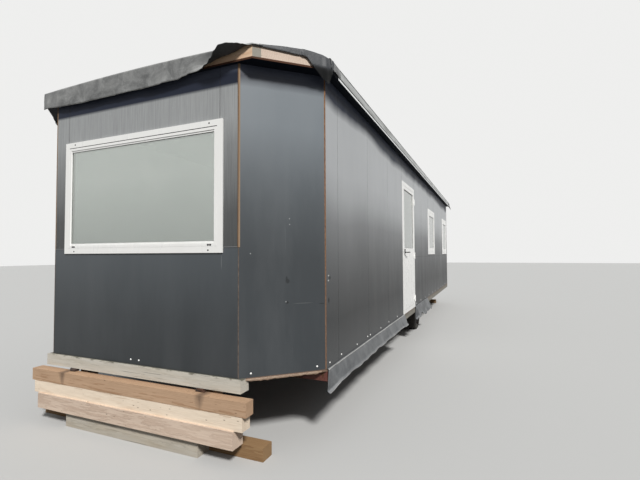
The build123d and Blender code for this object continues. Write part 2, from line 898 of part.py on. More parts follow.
# Loose rubber membrane and skirts
def soft_pieces():
    reach_y = front - front_overhang - soft_clearance
    top = roof_eave + roof_rise - front_flap_below_crown
    out = front_flap_stand_off
    flap_points = [
        (reach_y, top),
        (reach_y - out, top - out),
        (reach_y - out, top - front_flap_drop),
        (reach_y - out + membrane_thickness, top - front_flap_drop),
        (reach_y - out + membrane_thickness, top - out - membrane_thickness),
        (reach_y, top - membrane_thickness),
    ]
    face = make_face(Polyline(*[(-front_flap_half, y, z) for y, z in flap_points], close=True))
    save("membrane_flap_front", [extrude(face, 2 * front_flap_half, dir=(1, 0, 0))])

    near = cant_overhang + soft_clearance
    far = near + membrane_thickness
    fold_x = eave_x - corner_flap_width
    flap_plan = [
        (fold_x, cant_y(fold_x, far)),
        (eave_x, cant_y(eave_x, far)),
        (eave_x, cant_y(eave_x, near)),
        (fold_x, cant_y(fold_x, near)),
    ]
    flap = prism(flap_plan, roof_eave - corner_flap_drop, roof_eave)
    y_fold = rear + rear_overhang + soft_clearance
    rear_flap = block(fold_x, eave_x, y_fold, y_fold + membrane_thickness, roof_eave - corner_flap_drop, roof_eave)
    save("membrane_flaps_corner", both_sides([flap, rear_flap]))

    x_wall = half_width + soft_clearance
    skirt = [
        (x_wall, deck_top),
        (x_wall + skirt_thickness, deck_top),
        (x_wall + skirt_thickness, deck_top - skirt_strip),
        (x_wall + skirt_flare, deck_top - skirt_drop),
        (x_wall + skirt_flare - skirt_thickness, deck_top - skirt_drop),
        (x_wall, deck_top - skirt_strip),
    ]
    fore = profile_along_y(skirt, side_rail_front, front + door_front)
    aft = profile_along_y(skirt, front + door_back, front + door_back + rear_skirt_length)
    save("skirt_flaps_right", [fore, aft])
    whole = profile_along_y(skirt, side_rail_front, front + door_back + rear_skirt_length)
    save("skirt_flap_left", mirrored([whole]))


cribbing()
rails_and_deck()
chassis()
running_gear()
wall_cores()
cladding_front()
cladding_canted()
corner_battens()
cladding_sides()
cladding_rear()
windows()
door_frame()
door_leaf()
door_handle()
door_hinges()
roof()
eave_trims()
soft_pieces()
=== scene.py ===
import math
import random

import bmesh
import bpy
from mathutils import Matrix, Vector, noise


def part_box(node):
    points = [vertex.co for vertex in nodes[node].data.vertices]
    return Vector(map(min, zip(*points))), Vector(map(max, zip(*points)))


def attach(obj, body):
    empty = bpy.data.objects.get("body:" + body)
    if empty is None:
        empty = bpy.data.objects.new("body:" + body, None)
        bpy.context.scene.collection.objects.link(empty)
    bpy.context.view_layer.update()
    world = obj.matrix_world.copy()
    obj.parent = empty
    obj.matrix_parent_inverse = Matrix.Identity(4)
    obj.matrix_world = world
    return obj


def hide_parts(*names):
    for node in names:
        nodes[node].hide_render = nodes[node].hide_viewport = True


# A static caravan on timber cribbing: finishes, loose rubber sheets and small fittings round the packed
# frame. Metres. The canted front faces -Y and the doorway is in the +X side.

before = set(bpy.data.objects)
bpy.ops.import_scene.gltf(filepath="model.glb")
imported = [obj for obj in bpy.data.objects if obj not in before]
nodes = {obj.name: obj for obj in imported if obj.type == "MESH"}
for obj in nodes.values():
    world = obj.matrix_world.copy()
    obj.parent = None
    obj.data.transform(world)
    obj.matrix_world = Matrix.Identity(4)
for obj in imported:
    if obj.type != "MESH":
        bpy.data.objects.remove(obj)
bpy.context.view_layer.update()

# The camera, fitted to the photograph's edges
CAMERA_PLACE = Vector((2.7153, -7.5154, 1.4901))
CAMERA_YAW = -0.40247
CAMERA_PITCH = 0.03502
CAMERA_ROLL = -0.00508
FOCAL_PIXELS = 398
IMAGE_WIDTH = 640
SENSOR_WIDTH = 36

# Light
SUN_ELEVATION = 43
SUN_SPREAD = 9
SUN_STRENGTH = 3.85
SUN_COLOUR = (1.0, 0.985, 0.96)
SKY_COLOUR = (0.93, 0.97, 1.0)
SKY_STRENGTH = 0.5
HORIZON_STRENGTH = 0.15
BACKGROUND = (0.86, 0.86, 0.8514)
FLOOR_REACH = 60
FLOOR_DEPTH = 0.001
FLOOR_LIT = (0.10, 0.098, 0.095)
FLOOR_SEEN = (0.50, 0.50, 0.494)

# Places read from the frame
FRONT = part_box("cladding_front_lower")[0].y
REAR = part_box("cladding_rear")[1].y
HALF_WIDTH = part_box("cladding_right")[1].x
CORNER_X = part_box("cladding_front_lower")[1].x
DECK_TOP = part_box("wall_front")[0].z
WALL_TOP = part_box("wall_front")[1].z
EAVE_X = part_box("soffit_board")[1].x
ROOF_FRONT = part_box("soffit_board")[0].y
ROOF_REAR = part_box("soffit_board")[1].y
ROOF_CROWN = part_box("roof_membrane")[1].z
DOOR_LOW, DOOR_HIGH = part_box("door_frame")

# Sizes of the frame that no node's box gives
CANT_DEPTH = 0.475
CANT_OVERHANG = 0.115
CLADDING = 0.012
MEMBRANE = 0.004

SIDE_START = FRONT + CANT_DEPTH
CANT_ALONG = Vector((HALF_WIDTH - CORNER_X, SIDE_START - FRONT, 0)).normalized()
CANT_NORMAL = Vector((CANT_ALONG.y, -CANT_ALONG.x, 0))
ROOF_RISE = ROOF_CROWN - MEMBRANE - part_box("roof_membrane")[0].z


def smooth(value):
    value = min(max(value, 0.0), 1.0)
    return value * value * (3 - 2 * value)


def hump(away, width):
    """1 at a place, and less on both sides of it."""
    return math.exp(-(away / width) ** 2)


def drift(*place):
    """Smooth noise about 0 at a place in its own space."""
    return noise.noise(Vector(place))


def mirrored(side, vector):
    """A place or a direction on the right (side 1), or its mirror image on the left (side -1)."""
    return Vector((side * vector.x, vector.y, vector.z))


# Materials
class Tree:
    """A node tree, with short ways to add nodes and to join them."""

    def __init__(self, owner):
        owner.use_nodes = True
        self.tree = owner.node_tree

    def node(self, kind, values=None, **settings):
        """A new node with its settings, and its inputs linked or set."""
        made = self.tree.nodes.new("ShaderNode" + kind)
        for name, setting in settings.items():
            setattr(made, name, setting)
        for socket, value in (values or {}).items():
            self.put(made.inputs[socket], value)
        return made

    def put(self, socket, value):
        """Links a value, or sets it where it is a number or a colour."""
        if isinstance(value, bpy.types.NodeSocket):
            self.tree.links.new(value, socket)
        elif isinstance(value, tuple) and socket.type == "RGBA":
            socket.default_value = (*value, 1)
        else:
            socket.default_value = value

    def math(self, operation, first, second=0.0, clamp=False):
        return self.node("Math", {0: first, 1: second}, operation=operation, use_clamp=clamp).outputs[0]

    def add(self, first, second, clamp=False):
        return self.math("ADD", first, second, clamp)

    def less(self, first, second):
        return self.math("SUBTRACT", first, second)

    def times(self, first, second):
        return self.math("MULTIPLY", first, second)

    def higher(self, first, second):
        return self.math("MAXIMUM", first, second)

    def absolute(self, value):
        return self.math("ABSOLUTE", value)

    def spread(self, value, low, high, to_low=0.0, to_high=1.0):
        """The value, taken from low to high on to 0 to 1 or to the range given."""
        values = {"Value": value, "From Min": low, "From Max": high, "To Min": to_low, "To Max": to_high}
        return self.node("MapRange", values).outputs[0]

    def mix(self, factor, first, second, blend="MIX"):
        values = {0: factor, 6: first, 7: second}
        return self.node("Mix", values, data_type="RGBA", blend_type=blend).outputs[2]

    def seen_ray(self):
        """1 for camera, glossy and transmission rays, which see the background as it is meant to look."""
        path = self.node("LightPath").outputs
        seen = self.add(path["Is Camera Ray"], path["Is Glossy Ray"], True)
        return self.add(seen, path["Is Transmission Ray"], True)


class Paint(Tree):
    """One material: patterns in the piece's own coordinates, and a colour that is laid on in coats."""

    def __init__(self, name, roughness, **fixed):
        self.material = bpy.data.materials.new(name)
        super().__init__(self.material)
        self.surface = self.tree.nodes["Principled BSDF"]
        self.surface.inputs["Roughness"].default_value = roughness
        for socket, value in fixed.items():
            self.surface.inputs[socket.replace("_", " ")].default_value = value
        self.coordinates = self.node("TexCoord").outputs
        self.place = self.node("SeparateXYZ", {0: self.coordinates["Object"]}).outputs
        self.normal = self.node("SeparateXYZ", {0: self.coordinates["Normal"]}).outputs
        self.colour = None

    def at(self, scale, shift=(0, 0, 0), turn=(0, 0, 0)):
        values = {"Vector": self.coordinates["Object"], "Location": shift, "Rotation": turn, "Scale": scale}
        return self.node("Mapping", values).outputs[0]

    def cloud(self, scale, detail=4, rough=0.55, twist=0.0, shift=(0, 0, 0), turn=(0, 0, 0)):
        """Noise with one scale, or with a scale along each axis."""
        scale = scale if isinstance(scale, tuple) else (scale, scale, scale)
        values = {"Scale": 1, "Detail": detail, "Roughness": rough, "Distortion": twist}
        return self.node("TexNoise", {"Vector": self.at(scale, shift, turn), **values}).outputs["Fac"]

    def ramp(self, value, stops, tint):
        """A grey that follows (value, grey) stops, tinted."""
        low, high = stops[0][0], stops[-1][0]
        made = self.node("ValToRGB", {0: self.spread(value, low, high)})
        marks = made.color_ramp.elements
        while len(marks) < len(stops):
            marks.new(0.5)
        for mark, (place, grey) in zip(marks, stops):
            mark.position = (place - low) / (high - low)
            mark.color = (*toned(tint, grey), 1)
        return made.outputs[0]

    def coat(self, tone, factor, blend="MIX"):
        """Lays a tone over the colour so far."""
        self.colour = self.mix(factor, self.colour, tone, blend)

    def coat_where(self, tone, value, low, high, amount=1.0):
        """Lays a tone over the colour, from none of it at the low value to the amount at the high one."""
        self.coat(tone, self.spread(value, low, high, 0, amount))

    def bump(self, height, depth):
        made = self.node("Bump", {"Distance": depth, "Height": height})
        self.put(self.surface.inputs["Normal"], made.outputs[0])

    def finish(self, roughness=None):
        self.put(self.surface.inputs["Base Color"], self.colour)
        if roughness is not None:
            self.put(self.surface.inputs["Roughness"], roughness)
        return self.material


def toned(colour, factor):
    return tuple(part * factor for part in colour)


# How far apart growth rings are, and how far apart the texture has them at scale 1
RING = 0.006
RING_UNIT = 2 * math.pi / 20


def timber(name, axis, light, dark, pith, turn=0.0, grey=0.0, stain=None, knots=1.0):
    """Sawn timber: growth rings about a line beside the piece, fibres along one axis, and knots."""
    paint = Paint(name, 0.72, Specular_IOR_Level=0.3)
    tilt = (0, 0, turn)

    def along(lengthways, across):
        return tuple(lengthways if index == axis else across for index in range(3))

    def grain(lengthways, across, detail, rough=0.55, shift=(0, 0, 0)):
        return paint.cloud(along(lengthways, across), detail, rough, shift=shift, turn=tilt)

    wave = {"Scale": RING_UNIT / RING, "Distortion": 5.0, "Detail": 3, "Detail Scale": 1.1}
    wave["Vector"] = paint.at(along(0.08, 1), pith, tilt)
    rings = paint.node("TexWave", wave, wave_type="RINGS", rings_direction="XYZ"[axis], wave_profile="SAW")
    fibres = grain(6, 260, 5, 0.6)
    patches = grain(1.6, 7, 3)
    latewood = paint.spread(rings.outputs["Fac"], 0.45, 1.0, 0, 0.75)
    paint.colour = paint.mix(latewood, light, dark)
    paint.coat_where(toned(dark, 0.7), fibres, 0.35, 0.7, 0.35)
    paint.coat_where(toned(light, 1.12), patches, 0.42, 0.75, 0.45)
    middles = paint.at(along(2.6, 7.5), (0.31, 0.17, 0.23), tilt)
    cells = paint.node("TexVoronoi", {"Vector": middles, "Randomness": 0.9})
    ragged = paint.add(cells.outputs["Distance"], paint.times(patches, 0.05))
    some = paint.spread(grain(1.7, 4.0, 1), 0.50, 0.55)
    paint.coat(toned(dark, 0.55), paint.times(paint.spread(ragged, 0.10, 0.20, 0.55 * knots, 0), some))
    paint.coat(toned(dark, 0.28), paint.times(paint.spread(ragged, 0.075, 0.115, 0.95 * knots, 0), some))
    if grey:
        paint.coat((0.58, 0.56, 0.51), paint.spread(grain(2.5, 22, 6, 0.65), 0.30, 0.68, 0.25 * grey, grey))
        paint.coat_where((0.10, 0.09, 0.075), grain(2.2, 130, 3, 0.5, (5, 5, 5)), 0.63, 0.70, 0.8)
    if stain:
        stain(paint)
    paint.bump(paint.add(fibres, paint.times(latewood, 0.6)), 0.0012)
    return paint.finish(paint.spread(fibres, 0.3, 0.7, 0.62, 0.85))


def packer_stain(paint):
    """Rust run down from the packers over the face of the beam under them."""
    packer_x = abs(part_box("crib_packers")[1].x) + 0.015
    below = paint.less(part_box("crib_beams_top")[1].z, paint.place[2])
    beside = paint.absolute(paint.less(paint.absolute(paint.place[0]), packer_x))
    beside = paint.add(beside, paint.times(paint.cloud((24, 24, 9), 3), 0.05))
    beside = paint.add(beside, paint.times(below, 0.30))
    paint.coat((0.045, 0.030, 0.024), paint.spread(beside, 0.035, 0.080, 0.60, 0))


def moss(paint):
    """Dark damp moss along the top edge, under the wall."""
    patch = paint.cloud(14, 5, 0.65)
    high = paint.spread(paint.place[2], DECK_TOP - 0.012, DECK_TOP - 0.0005)
    wall = paint.spread(paint.absolute(paint.place[1]), abs(FRONT) + 0.026, abs(FRONT) + 0.004)
    damp = paint.times(high, paint.add(wall, paint.spread(patch, 0.50, 0.66), True))
    paint.coat((0.055, 0.052, 0.028), paint.times(damp, 0.85))


def end_grain(paint):
    """The sawn end of the front fascia beam, grey where it looks out of the canted side."""
    sawn = paint.mix(paint.cloud(160, 4, 0.7), (0.36, 0.34, 0.29), (0.22, 0.20, 0.17))
    paint.coat_where(sawn, paint.absolute(paint.normal[0]), 0.55, 0.62)


def arris_painted_highlight(paint):
    """A paler tone painted on the batten's faces that look sideways, towards the canted side: a painted
    highlight where the light falls on them.
    """
    paint.coat_where((0.37, 0.27, 0.18), paint.absolute(paint.normal[0]), 0.62, 0.67)


def marks(paint, spots):
    """Soft-edged spots over the colour so far."""
    for place, size, tone, strength in spots:
        scale = tuple(1 / part for part in size)
        shift = tuple(-a * b for a, b in zip(place, scale))
        length = paint.node("VectorMath", {0: paint.at(scale, shift)}, operation="LENGTH")
        paint.coat_where(tone, length.outputs["Value"], 1.2, 0.7, strength)


def edge_mask(paint, weights):
    """1 on the cut edges of a sheet, whose broad faces look along the weighted axes."""
    total = 0.0
    for axis, weight in enumerate(weights):
        if weight:
            total = paint.add(total, paint.times(paint.absolute(paint.normal[axis]), weight))
    return paint.spread(total, 0.9, 0.86)


# How pale the film is painted at each height above the ground: its own dark tone, painted lighter towards the
# top as a reflection of the sky
FRONT_TONE_AND_SHEEN = ((0.60, 0.033), (1.00, 0.045), (1.50, 0.080))
CANTED_TONE_AND_SHEEN = (
    (0.60, 0.043), (1.45, 0.045), (1.65, 0.058), (1.85, 0.076), (2.05, 0.104), (2.25, 0.140), (2.45, 0.176),
    (2.70, 0.182), (2.86, 0.182),
)
SIDE_TONE_AND_SHEEN = (
    (0.60, 0.080), (0.95, 0.050), (1.25, 0.085), (1.50, 0.135), (1.75, 0.215), (2.00, 0.390), (2.20, 0.460),
    (2.50, 0.480), (2.86, 0.470),
)
STREAKED_TONE_AND_SHEEN = ((1.50, 0.070), (1.80, 0.095), (2.00, 0.165), (2.30, 0.240), (2.50, 0.330), (2.86, 0.330))

# Painted shade under the eave: the near black painted on the film there, and a less dark strip of it right
# under the soffit
EAVE_PAINTED_SHADE = (0.009, 0.013, 0.027)
SOFFIT_PAINTED_SHADE = (0.055, 0.065, 0.095)
SOFFIT_SHADE_BAND = (2.845, 2.885)

# Small knocks and scratches: the place, the size, the tone and the strength of each
PALE_KNOCK = (0.55, 0.56, 0.56)
DARK_KNOCK = (0.008, 0.009, 0.010)
CANTED_MARKS = (
    ((1.302, -4.794, 1.7625), (0.0042, 0.0042, 0.0042), PALE_KNOCK, 0.55),
    ((1.303, -4.793, 1.7178), (0.0042, 0.0042, 0.0042), PALE_KNOCK, 0.55),
    ((1.083, -5.000, 1.4953), (0.0045, 0.0045, 0.0045), PALE_KNOCK, 0.55),
    ((1.2910, -4.8052, 1.2840), (0.017, 0.017, 0.018), DARK_KNOCK, 0.65),
    ((1.2848, -4.8104, 1.3060), (0.008, 0.008, 0.016), DARK_KNOCK, 0.6),
    ((1.2880, -4.8075, 1.1215), (0.013, 0.013, 0.010), DARK_KNOCK, 0.8),
    ((1.2810, -4.8140, 1.1275), (0.005, 0.005, 0.005), PALE_KNOCK, 0.5),
    ((1.3800, -4.7210, 1.1110), (0.075, 0.075, 0.0025), PALE_KNOCK, 0.10),
    ((1.4950, -4.6130, 1.1010), (0.030, 0.030, 0.0035), DARK_KNOCK, 0.7),
)
SIDE_MARKS = (
    ((HALF_WIDTH, -4.5471, 1.3163), (0.010, 0.013, 0.006), PALE_KNOCK, 1.0),
    ((HALF_WIDTH, -4.5520, 1.2775), (0.010, 0.013, 0.006), PALE_KNOCK, 1.0),
    ((HALF_WIDTH, -4.5200, 1.2980), (0.010, 0.022, 0.014), DARK_KNOCK, 0.6),
    ((HALF_WIDTH, -4.5459, 1.1190), (0.010, 0.015, 0.022), DARK_KNOCK, 0.9),
)
FRONT_MARKS = (((0.867, FRONT, 1.434), (0.004, 0.01, 0.055), PALE_KNOCK, 0.12),)


def film_sheet(name, weights, tone_and_sheen, shine=0.4, painted_shade_band=(2.72, 2.82), tint=(0.875, 1.0, 1.11), closed=False,
               spots=()):
    """Film-faced plywood: satin anthracite film, painted lighter towards the top as a reflection of the sky
    and near black under the eave as painted shade, with raw brown edges.

    The long walls' sheets are butted, so only their ends at the corners show the raw edge."""
    paint = Paint(name, 0.42, Specular_IOR_Level=shine)
    above = paint.place[2]
    smear = paint.cloud((5, 5, 1.1), 5, 0.6)
    height = paint.add(above, paint.spread(paint.cloud((0.9, 0.9, 0.55), 3, 0.5), 0.3, 0.7, -0.05, 0.05))
    # The film's own dark tone, painted lighter towards the top as a reflection of the sky
    paint.colour = paint.ramp(height, tone_and_sheen, tint)
    paint.coat_where((0.30, 0.31, 0.32), smear, 0.40, 0.75, 0.06)
    paint.coat_where((0.40, 0.41, 0.41), paint.cloud((34, 34, 2.2), 2, 0.5), 0.75, 0.80, 0.04)
    paint.coat_where((0.03, 0.03, 0.032), paint.cloud(13, 5, 0.8), 0.735, 0.76, 0.5)
    # Painted shade under the eave, and a less dark painted shade right under the soffit
    paint.coat_where(EAVE_PAINTED_SHADE, height, *painted_shade_band)
    paint.coat_where(SOFFIT_PAINTED_SHADE, above, *SOFFIT_SHADE_BAND)
    marks(paint, spots)
    layers = paint.spread(paint.cloud((330, 330, 46), 3), 0.36, 0.62)
    raw = paint.mix(layers, (0.42, 0.24, 0.13), (0.16, 0.070, 0.038))
    raw = paint.mix(paint.spread(above, 1.9, 1.2, 0, 0.5), raw, (0.15, 0.115, 0.095))
    if closed:
        within = paint.spread(paint.place[1], SIDE_START + 0.02, SIDE_START + 0.04)
        raw = paint.mix(within, raw, (0.030, 0.027, 0.026))
    edge = edge_mask(paint, weights)
    paint.coat(raw, edge)
    paint.bump(paint.cloud((3.2, 3.2, 2.4), 2), 0.0016)
    return paint.finish(paint.higher(paint.spread(smear, 0.3, 0.7, 0.38, 0.52), paint.times(edge, 0.8)))


def streaked_sheet():
    """The same sheet weathered to a chalky grey, with fine upright streaks and light flecks; painted lighter
    towards the top as a reflection of the sky, with painted shade under the eave and a painted highlight on
    its upward faces.
    """
    paint = Paint("streaked_sheet", 0.66, Specular_IOR_Level=0.3)
    above = paint.place[2]
    fine = paint.cloud((210, 210, 3.4), 5, 0.7)
    height = paint.add(above, paint.spread(paint.cloud((2.2, 2.2, 1.1), 3, 0.6), 0.3, 0.7, -0.03, 0.03))
    # Painted lighter towards the top as a reflection of the sky
    paint.colour = paint.ramp(height, STREAKED_TONE_AND_SHEEN, (0.97, 1.0, 1.02))
    streaks = paint.mix(paint.spread(fine, 0.25, 0.75), (0.70, 0.70, 0.71), (1.38, 1.38, 1.36))
    paint.coat(streaks, 0.85, "MULTIPLY")
    speckle = paint.spread(paint.cloud((70, 70, 38), 3, 0.6), 0.66, 0.74)
    flecks = paint.times(speckle, paint.spread(paint.cloud((4, 4, 3), 2), 0.45, 0.62))
    paint.coat((0.56, 0.57, 0.58), paint.times(flecks, 0.6))
    # Painted shade under the eave, and a less dark painted shade right under the soffit
    paint.coat_where(EAVE_PAINTED_SHADE, above, 2.752, 2.778)
    paint.coat_where(SOFFIT_PAINTED_SHADE, above, *SOFFIT_SHADE_BAND)
    paint.coat((0.05, 0.042, 0.036), edge_mask(paint, (0, 1, 0)))
    # Painted highlight on the faces that look up
    paint.coat_where((0.5, 0.5, 0.48), paint.normal[2], 0.7, 0.9)
    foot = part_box("cladding_front_upper")[0].z
    paint.coat_where((0.27, 0.28, 0.29), above, foot + 0.008, foot + 0.005, 0.5)
    paint.bump(fine, 0.0006)
    return paint.finish()


def white_plastic():
    paint = Paint("white_plastic", 0.28, IOR=1.5)
    dust = paint.cloud((9, 9, 3), 5, 0.62)
    paint.colour = paint.mix(paint.spread(dust, 0.4, 0.8, 0, 0.4), (0.91, 0.91, 0.895), (0.83, 0.83, 0.80))
    paint.coat_where((0.48, 0.46, 0.42), paint.cloud((40, 40, 14), 4, 0.7), 0.72, 0.84, 0.08)
    paint.bump(paint.cloud(420, 2), 0.00015)
    return paint.finish(paint.spread(dust, 0.35, 0.75, 0.24, 0.42))


def pane_glass():
    """Sealed units with a reflecting coat, so that the sky shows in them more than the dark room."""
    paint = Paint("pane_glass", 0.03, IOR=1.5, Transmission_Weight=1.0, Metallic=0.5)
    film = paint.cloud((3, 3, 2), 5, 0.6)
    paint.colour = paint.mix(film, (0.76, 0.81, 0.77), (0.84, 0.88, 0.84))
    # Painted reflection: the glass is painted darker towards the bottom, where it would reflect the ground;
    # it is also darker in the side panes
    paint.coat_where((0.62, 0.66, 0.625), paint.place[2], 2.15, 1.55)
    paint.coat_where((0.52, 0.55, 0.53), paint.absolute(paint.place[0]), 1.25, 1.35, 0.75)
    return paint.finish(paint.spread(film, 0.3, 0.75, 0.015, 0.06))


def rubber_sheet(name, clean, dusty, amount):
    """Roofing rubber: matt black under dust that lies in blotches and runs."""
    paint = Paint(name, 0.62, Specular_IOR_Level=0.45)
    blotch = paint.cloud(5.5, 6, 0.68, 0.6)
    grit = paint.cloud(75, 4, 0.7)
    up = paint.spread(paint.normal[2], 0.05, 0.9, 0, 0.55)
    cover = paint.times(paint.add(paint.spread(blotch, 0.38, 0.68, 0, 0.75), up, True), amount)
    paint.colour = paint.mix(cover, clean, dusty)
    paint.coat_where(toned(dusty, 1.25), grit, 0.55, 0.8, 0.35)
    # Painted shade: the faces that look down are painted darker
    paint.coat_where(tuple(0.006 + part * 0.25 for part in clean), paint.normal[2], -0.10, -0.55)
    paint.bump(paint.add(grit, paint.times(blotch, 2.0)), 0.0016)
    return paint.finish(paint.spread(cover, 0, 1, 0.5, 0.85))


def steel(name, base, worn, rust, amount, roughness):
    """Painted or bare steel with rust creeping from scattered spots."""
    paint = Paint(name, roughness, Specular_IOR_Level=0.5)
    fine = paint.cloud(120, 4, 0.6)
    creep = paint.add(paint.cloud(11, 7, 0.72), paint.times(fine, 0.12))
    cover = paint.spread(creep, 0.70 - 0.25 * amount, 0.78 - 0.25 * amount)
    paint.colour = paint.mix(paint.spread(fine, 0.35, 0.75, 0, 0.5), base, worn)
    paint.coat(paint.mix(fine, rust, toned(rust, 0.45)), cover)
    paint.bump(paint.add(fine, cover), 0.0008)
    return paint.finish(paint.spread(cover, 0, 1, roughness, 0.85))


def mill_metal():
    """Dull roof-edge metal, drawn along the length of the wall, with a brighter lower lip."""
    paint = Paint("mill_metal", 0.42, Metallic=0.85)
    drawn = paint.cloud((160, 1.5, 160))
    dirt = paint.cloud((8, 2.4, 20), 5, 0.65)
    paint.colour = paint.mix(drawn, (0.42, 0.43, 0.43), (0.55, 0.56, 0.55))
    paint.coat_where((0.20, 0.20, 0.19), dirt, 0.42, 0.72, 0.7)
    paint.coat_where((0.86, 0.87, 0.87), paint.place[2], WALL_TOP + 0.022, WALL_TOP + 0.018)
    paint.bump(drawn, 0.0003)
    return paint.finish(paint.spread(dirt, 0.4, 0.7, 0.36, 0.66))


def plywood(name, face, edge_light, edge_dark, broad=(0, 0, 1), ends_only=False, outside=False, shine=0.5):
    """Plywood: a smooth face, and glued layers on every cut edge."""
    paint = Paint(name, 0.6, Specular_IOR_Level=shine)
    paint.colour = paint.mix(paint.cloud((5, 1.1, 5), 6, 0.6, 0.8), face, toned(face, 0.72))
    values = {"Vector": paint.at((0.06, 0.06, 1)), "Scale": 52, "Distortion": 1.2, "Detail Scale": 2}
    wave = paint.node("TexWave", values, bands_direction="Z")
    splinter = paint.cloud((36, 36, 200), 5, 0.7)
    layers = paint.mix(paint.spread(wave.outputs["Fac"], 0.3, 0.7), edge_light, edge_dark)
    layers = paint.mix(paint.spread(splinter, 0.45, 0.7, 0, 0.7), layers, edge_dark)
    edge = edge_mask(paint, broad)
    if ends_only:
        edge = paint.times(edge, paint.spread(paint.absolute(paint.normal[1]), 0.2, 0.3))
    paint.coat(layers, edge)
    if outside:
        paint.coat((0.012, 0.012, 0.013), behind_sheets(paint))
    paint.bump(splinter, 0.0012)
    return paint.finish()


def behind_sheets(paint):
    """1 on the outer face of the walls, which is black where it shows in the joints of the sheets."""
    aside = paint.absolute(paint.place[0])
    across = paint.less(aside, HALF_WIDTH - CLADDING)
    lengthways = paint.less(paint.absolute(paint.place[1]), -FRONT - CLADDING)
    canted = paint.add(paint.times(aside, CANT_NORMAL.x), paint.times(paint.place[1], CANT_NORMAL.y))
    canted = paint.less(canted, CORNER_X * CANT_NORMAL.x + FRONT * CANT_NORMAL.y - CLADDING)
    return paint.spread(paint.higher(paint.higher(across, lengthways), canted), -0.0035, -0.0025)


def two_toned(name, roughness, cloud, low, high, tones, depth=0.0, shine=0.5, rough=None):
    """A plain finish of two tones that one cloud spreads; it can roughen the surface too."""
    paint = Paint(name, roughness, Specular_IOR_Level=shine)
    grain = paint.cloud(*cloud)
    paint.colour = paint.mix(paint.spread(grain, low, high), *tones)
    if depth:
        paint.bump(grain, depth)
    return paint.finish(paint.spread(grain, 0.3, 0.7, *rough) if rough else None)


# The timber nodes: the axis of the grain, the light and the dark tone, the pith's place, and what else
# marks each of them
X, Y, Z = 0, 1, 2
BEAM_TURN = math.atan2(CANT_ALONG.y, CANT_ALONG.x)
FASCIA_PITH = (0, -0.02, -3.2)
TIMBERS = {
    "crib_sleepers": (X, (0.50, 0.43, 0.33), (0.31, 0.25, 0.17), (0, -0.09, 0.15), {"grey": 0.62}),
    "crib_beams_low": (X, (0.70, 0.56, 0.45), (0.53, 0.39, 0.30), (0, 0.12, -0.20), {}),
    "crib_beams_mid": (X, (0.90, 0.77, 0.62), (0.62, 0.45, 0.31), (0, -0.05, -0.45), {}),
    "crib_beams_top": (X, (0.52, 0.35, 0.23), (0.335, 0.187, 0.098), (0, 0.09, -0.31),
                       {"stain": packer_stain}),
    "crib_ground_blocks": (X, (0.34, 0.215, 0.108), (0.21, 0.110, 0.050), (0, -0.03, 0.06), {}),
    "crib_posts": (Z, (0.60, 0.40, 0.25), (0.36, 0.19, 0.095), (0.62, 0.1, 0), {}),
    "rails_end": (X, (0.60, 0.55, 0.46), (0.42, 0.37, 0.29), (0, 0.1, -0.42), {"grey": 0.85, "stain": moss}),
    "rails_side": (Y, (0.17, 0.16, 0.135), (0.10, 0.090, 0.070), (0.1, 0, -0.42), {"grey": 0.22}),
    "corner_battens": (Z, (0.20, 0.115, 0.060), (0.105, 0.052, 0.026), (1.2, -5.3, 0),
                       {"knots": 0.9, "stain": arris_painted_highlight}),
    # The front fascia beam is painted paler than the canted one, partly as painted light that offsets the
    # shade the flap casts on it
    "fascia_end_beams": (X, (0.82, 0.60, 0.42), (0.62, 0.38, 0.23), FASCIA_PITH,
                         {"knots": 0.7, "stain": end_grain}),
    "fascia_canted": (X, (0.66, 0.54, 0.45), (0.52, 0.38, 0.29), FASCIA_PITH,
                      {"knots": 0.7, "turn": -BEAM_TURN}),
}
DECK_PLY = (0.17, 0.10, 0.06)


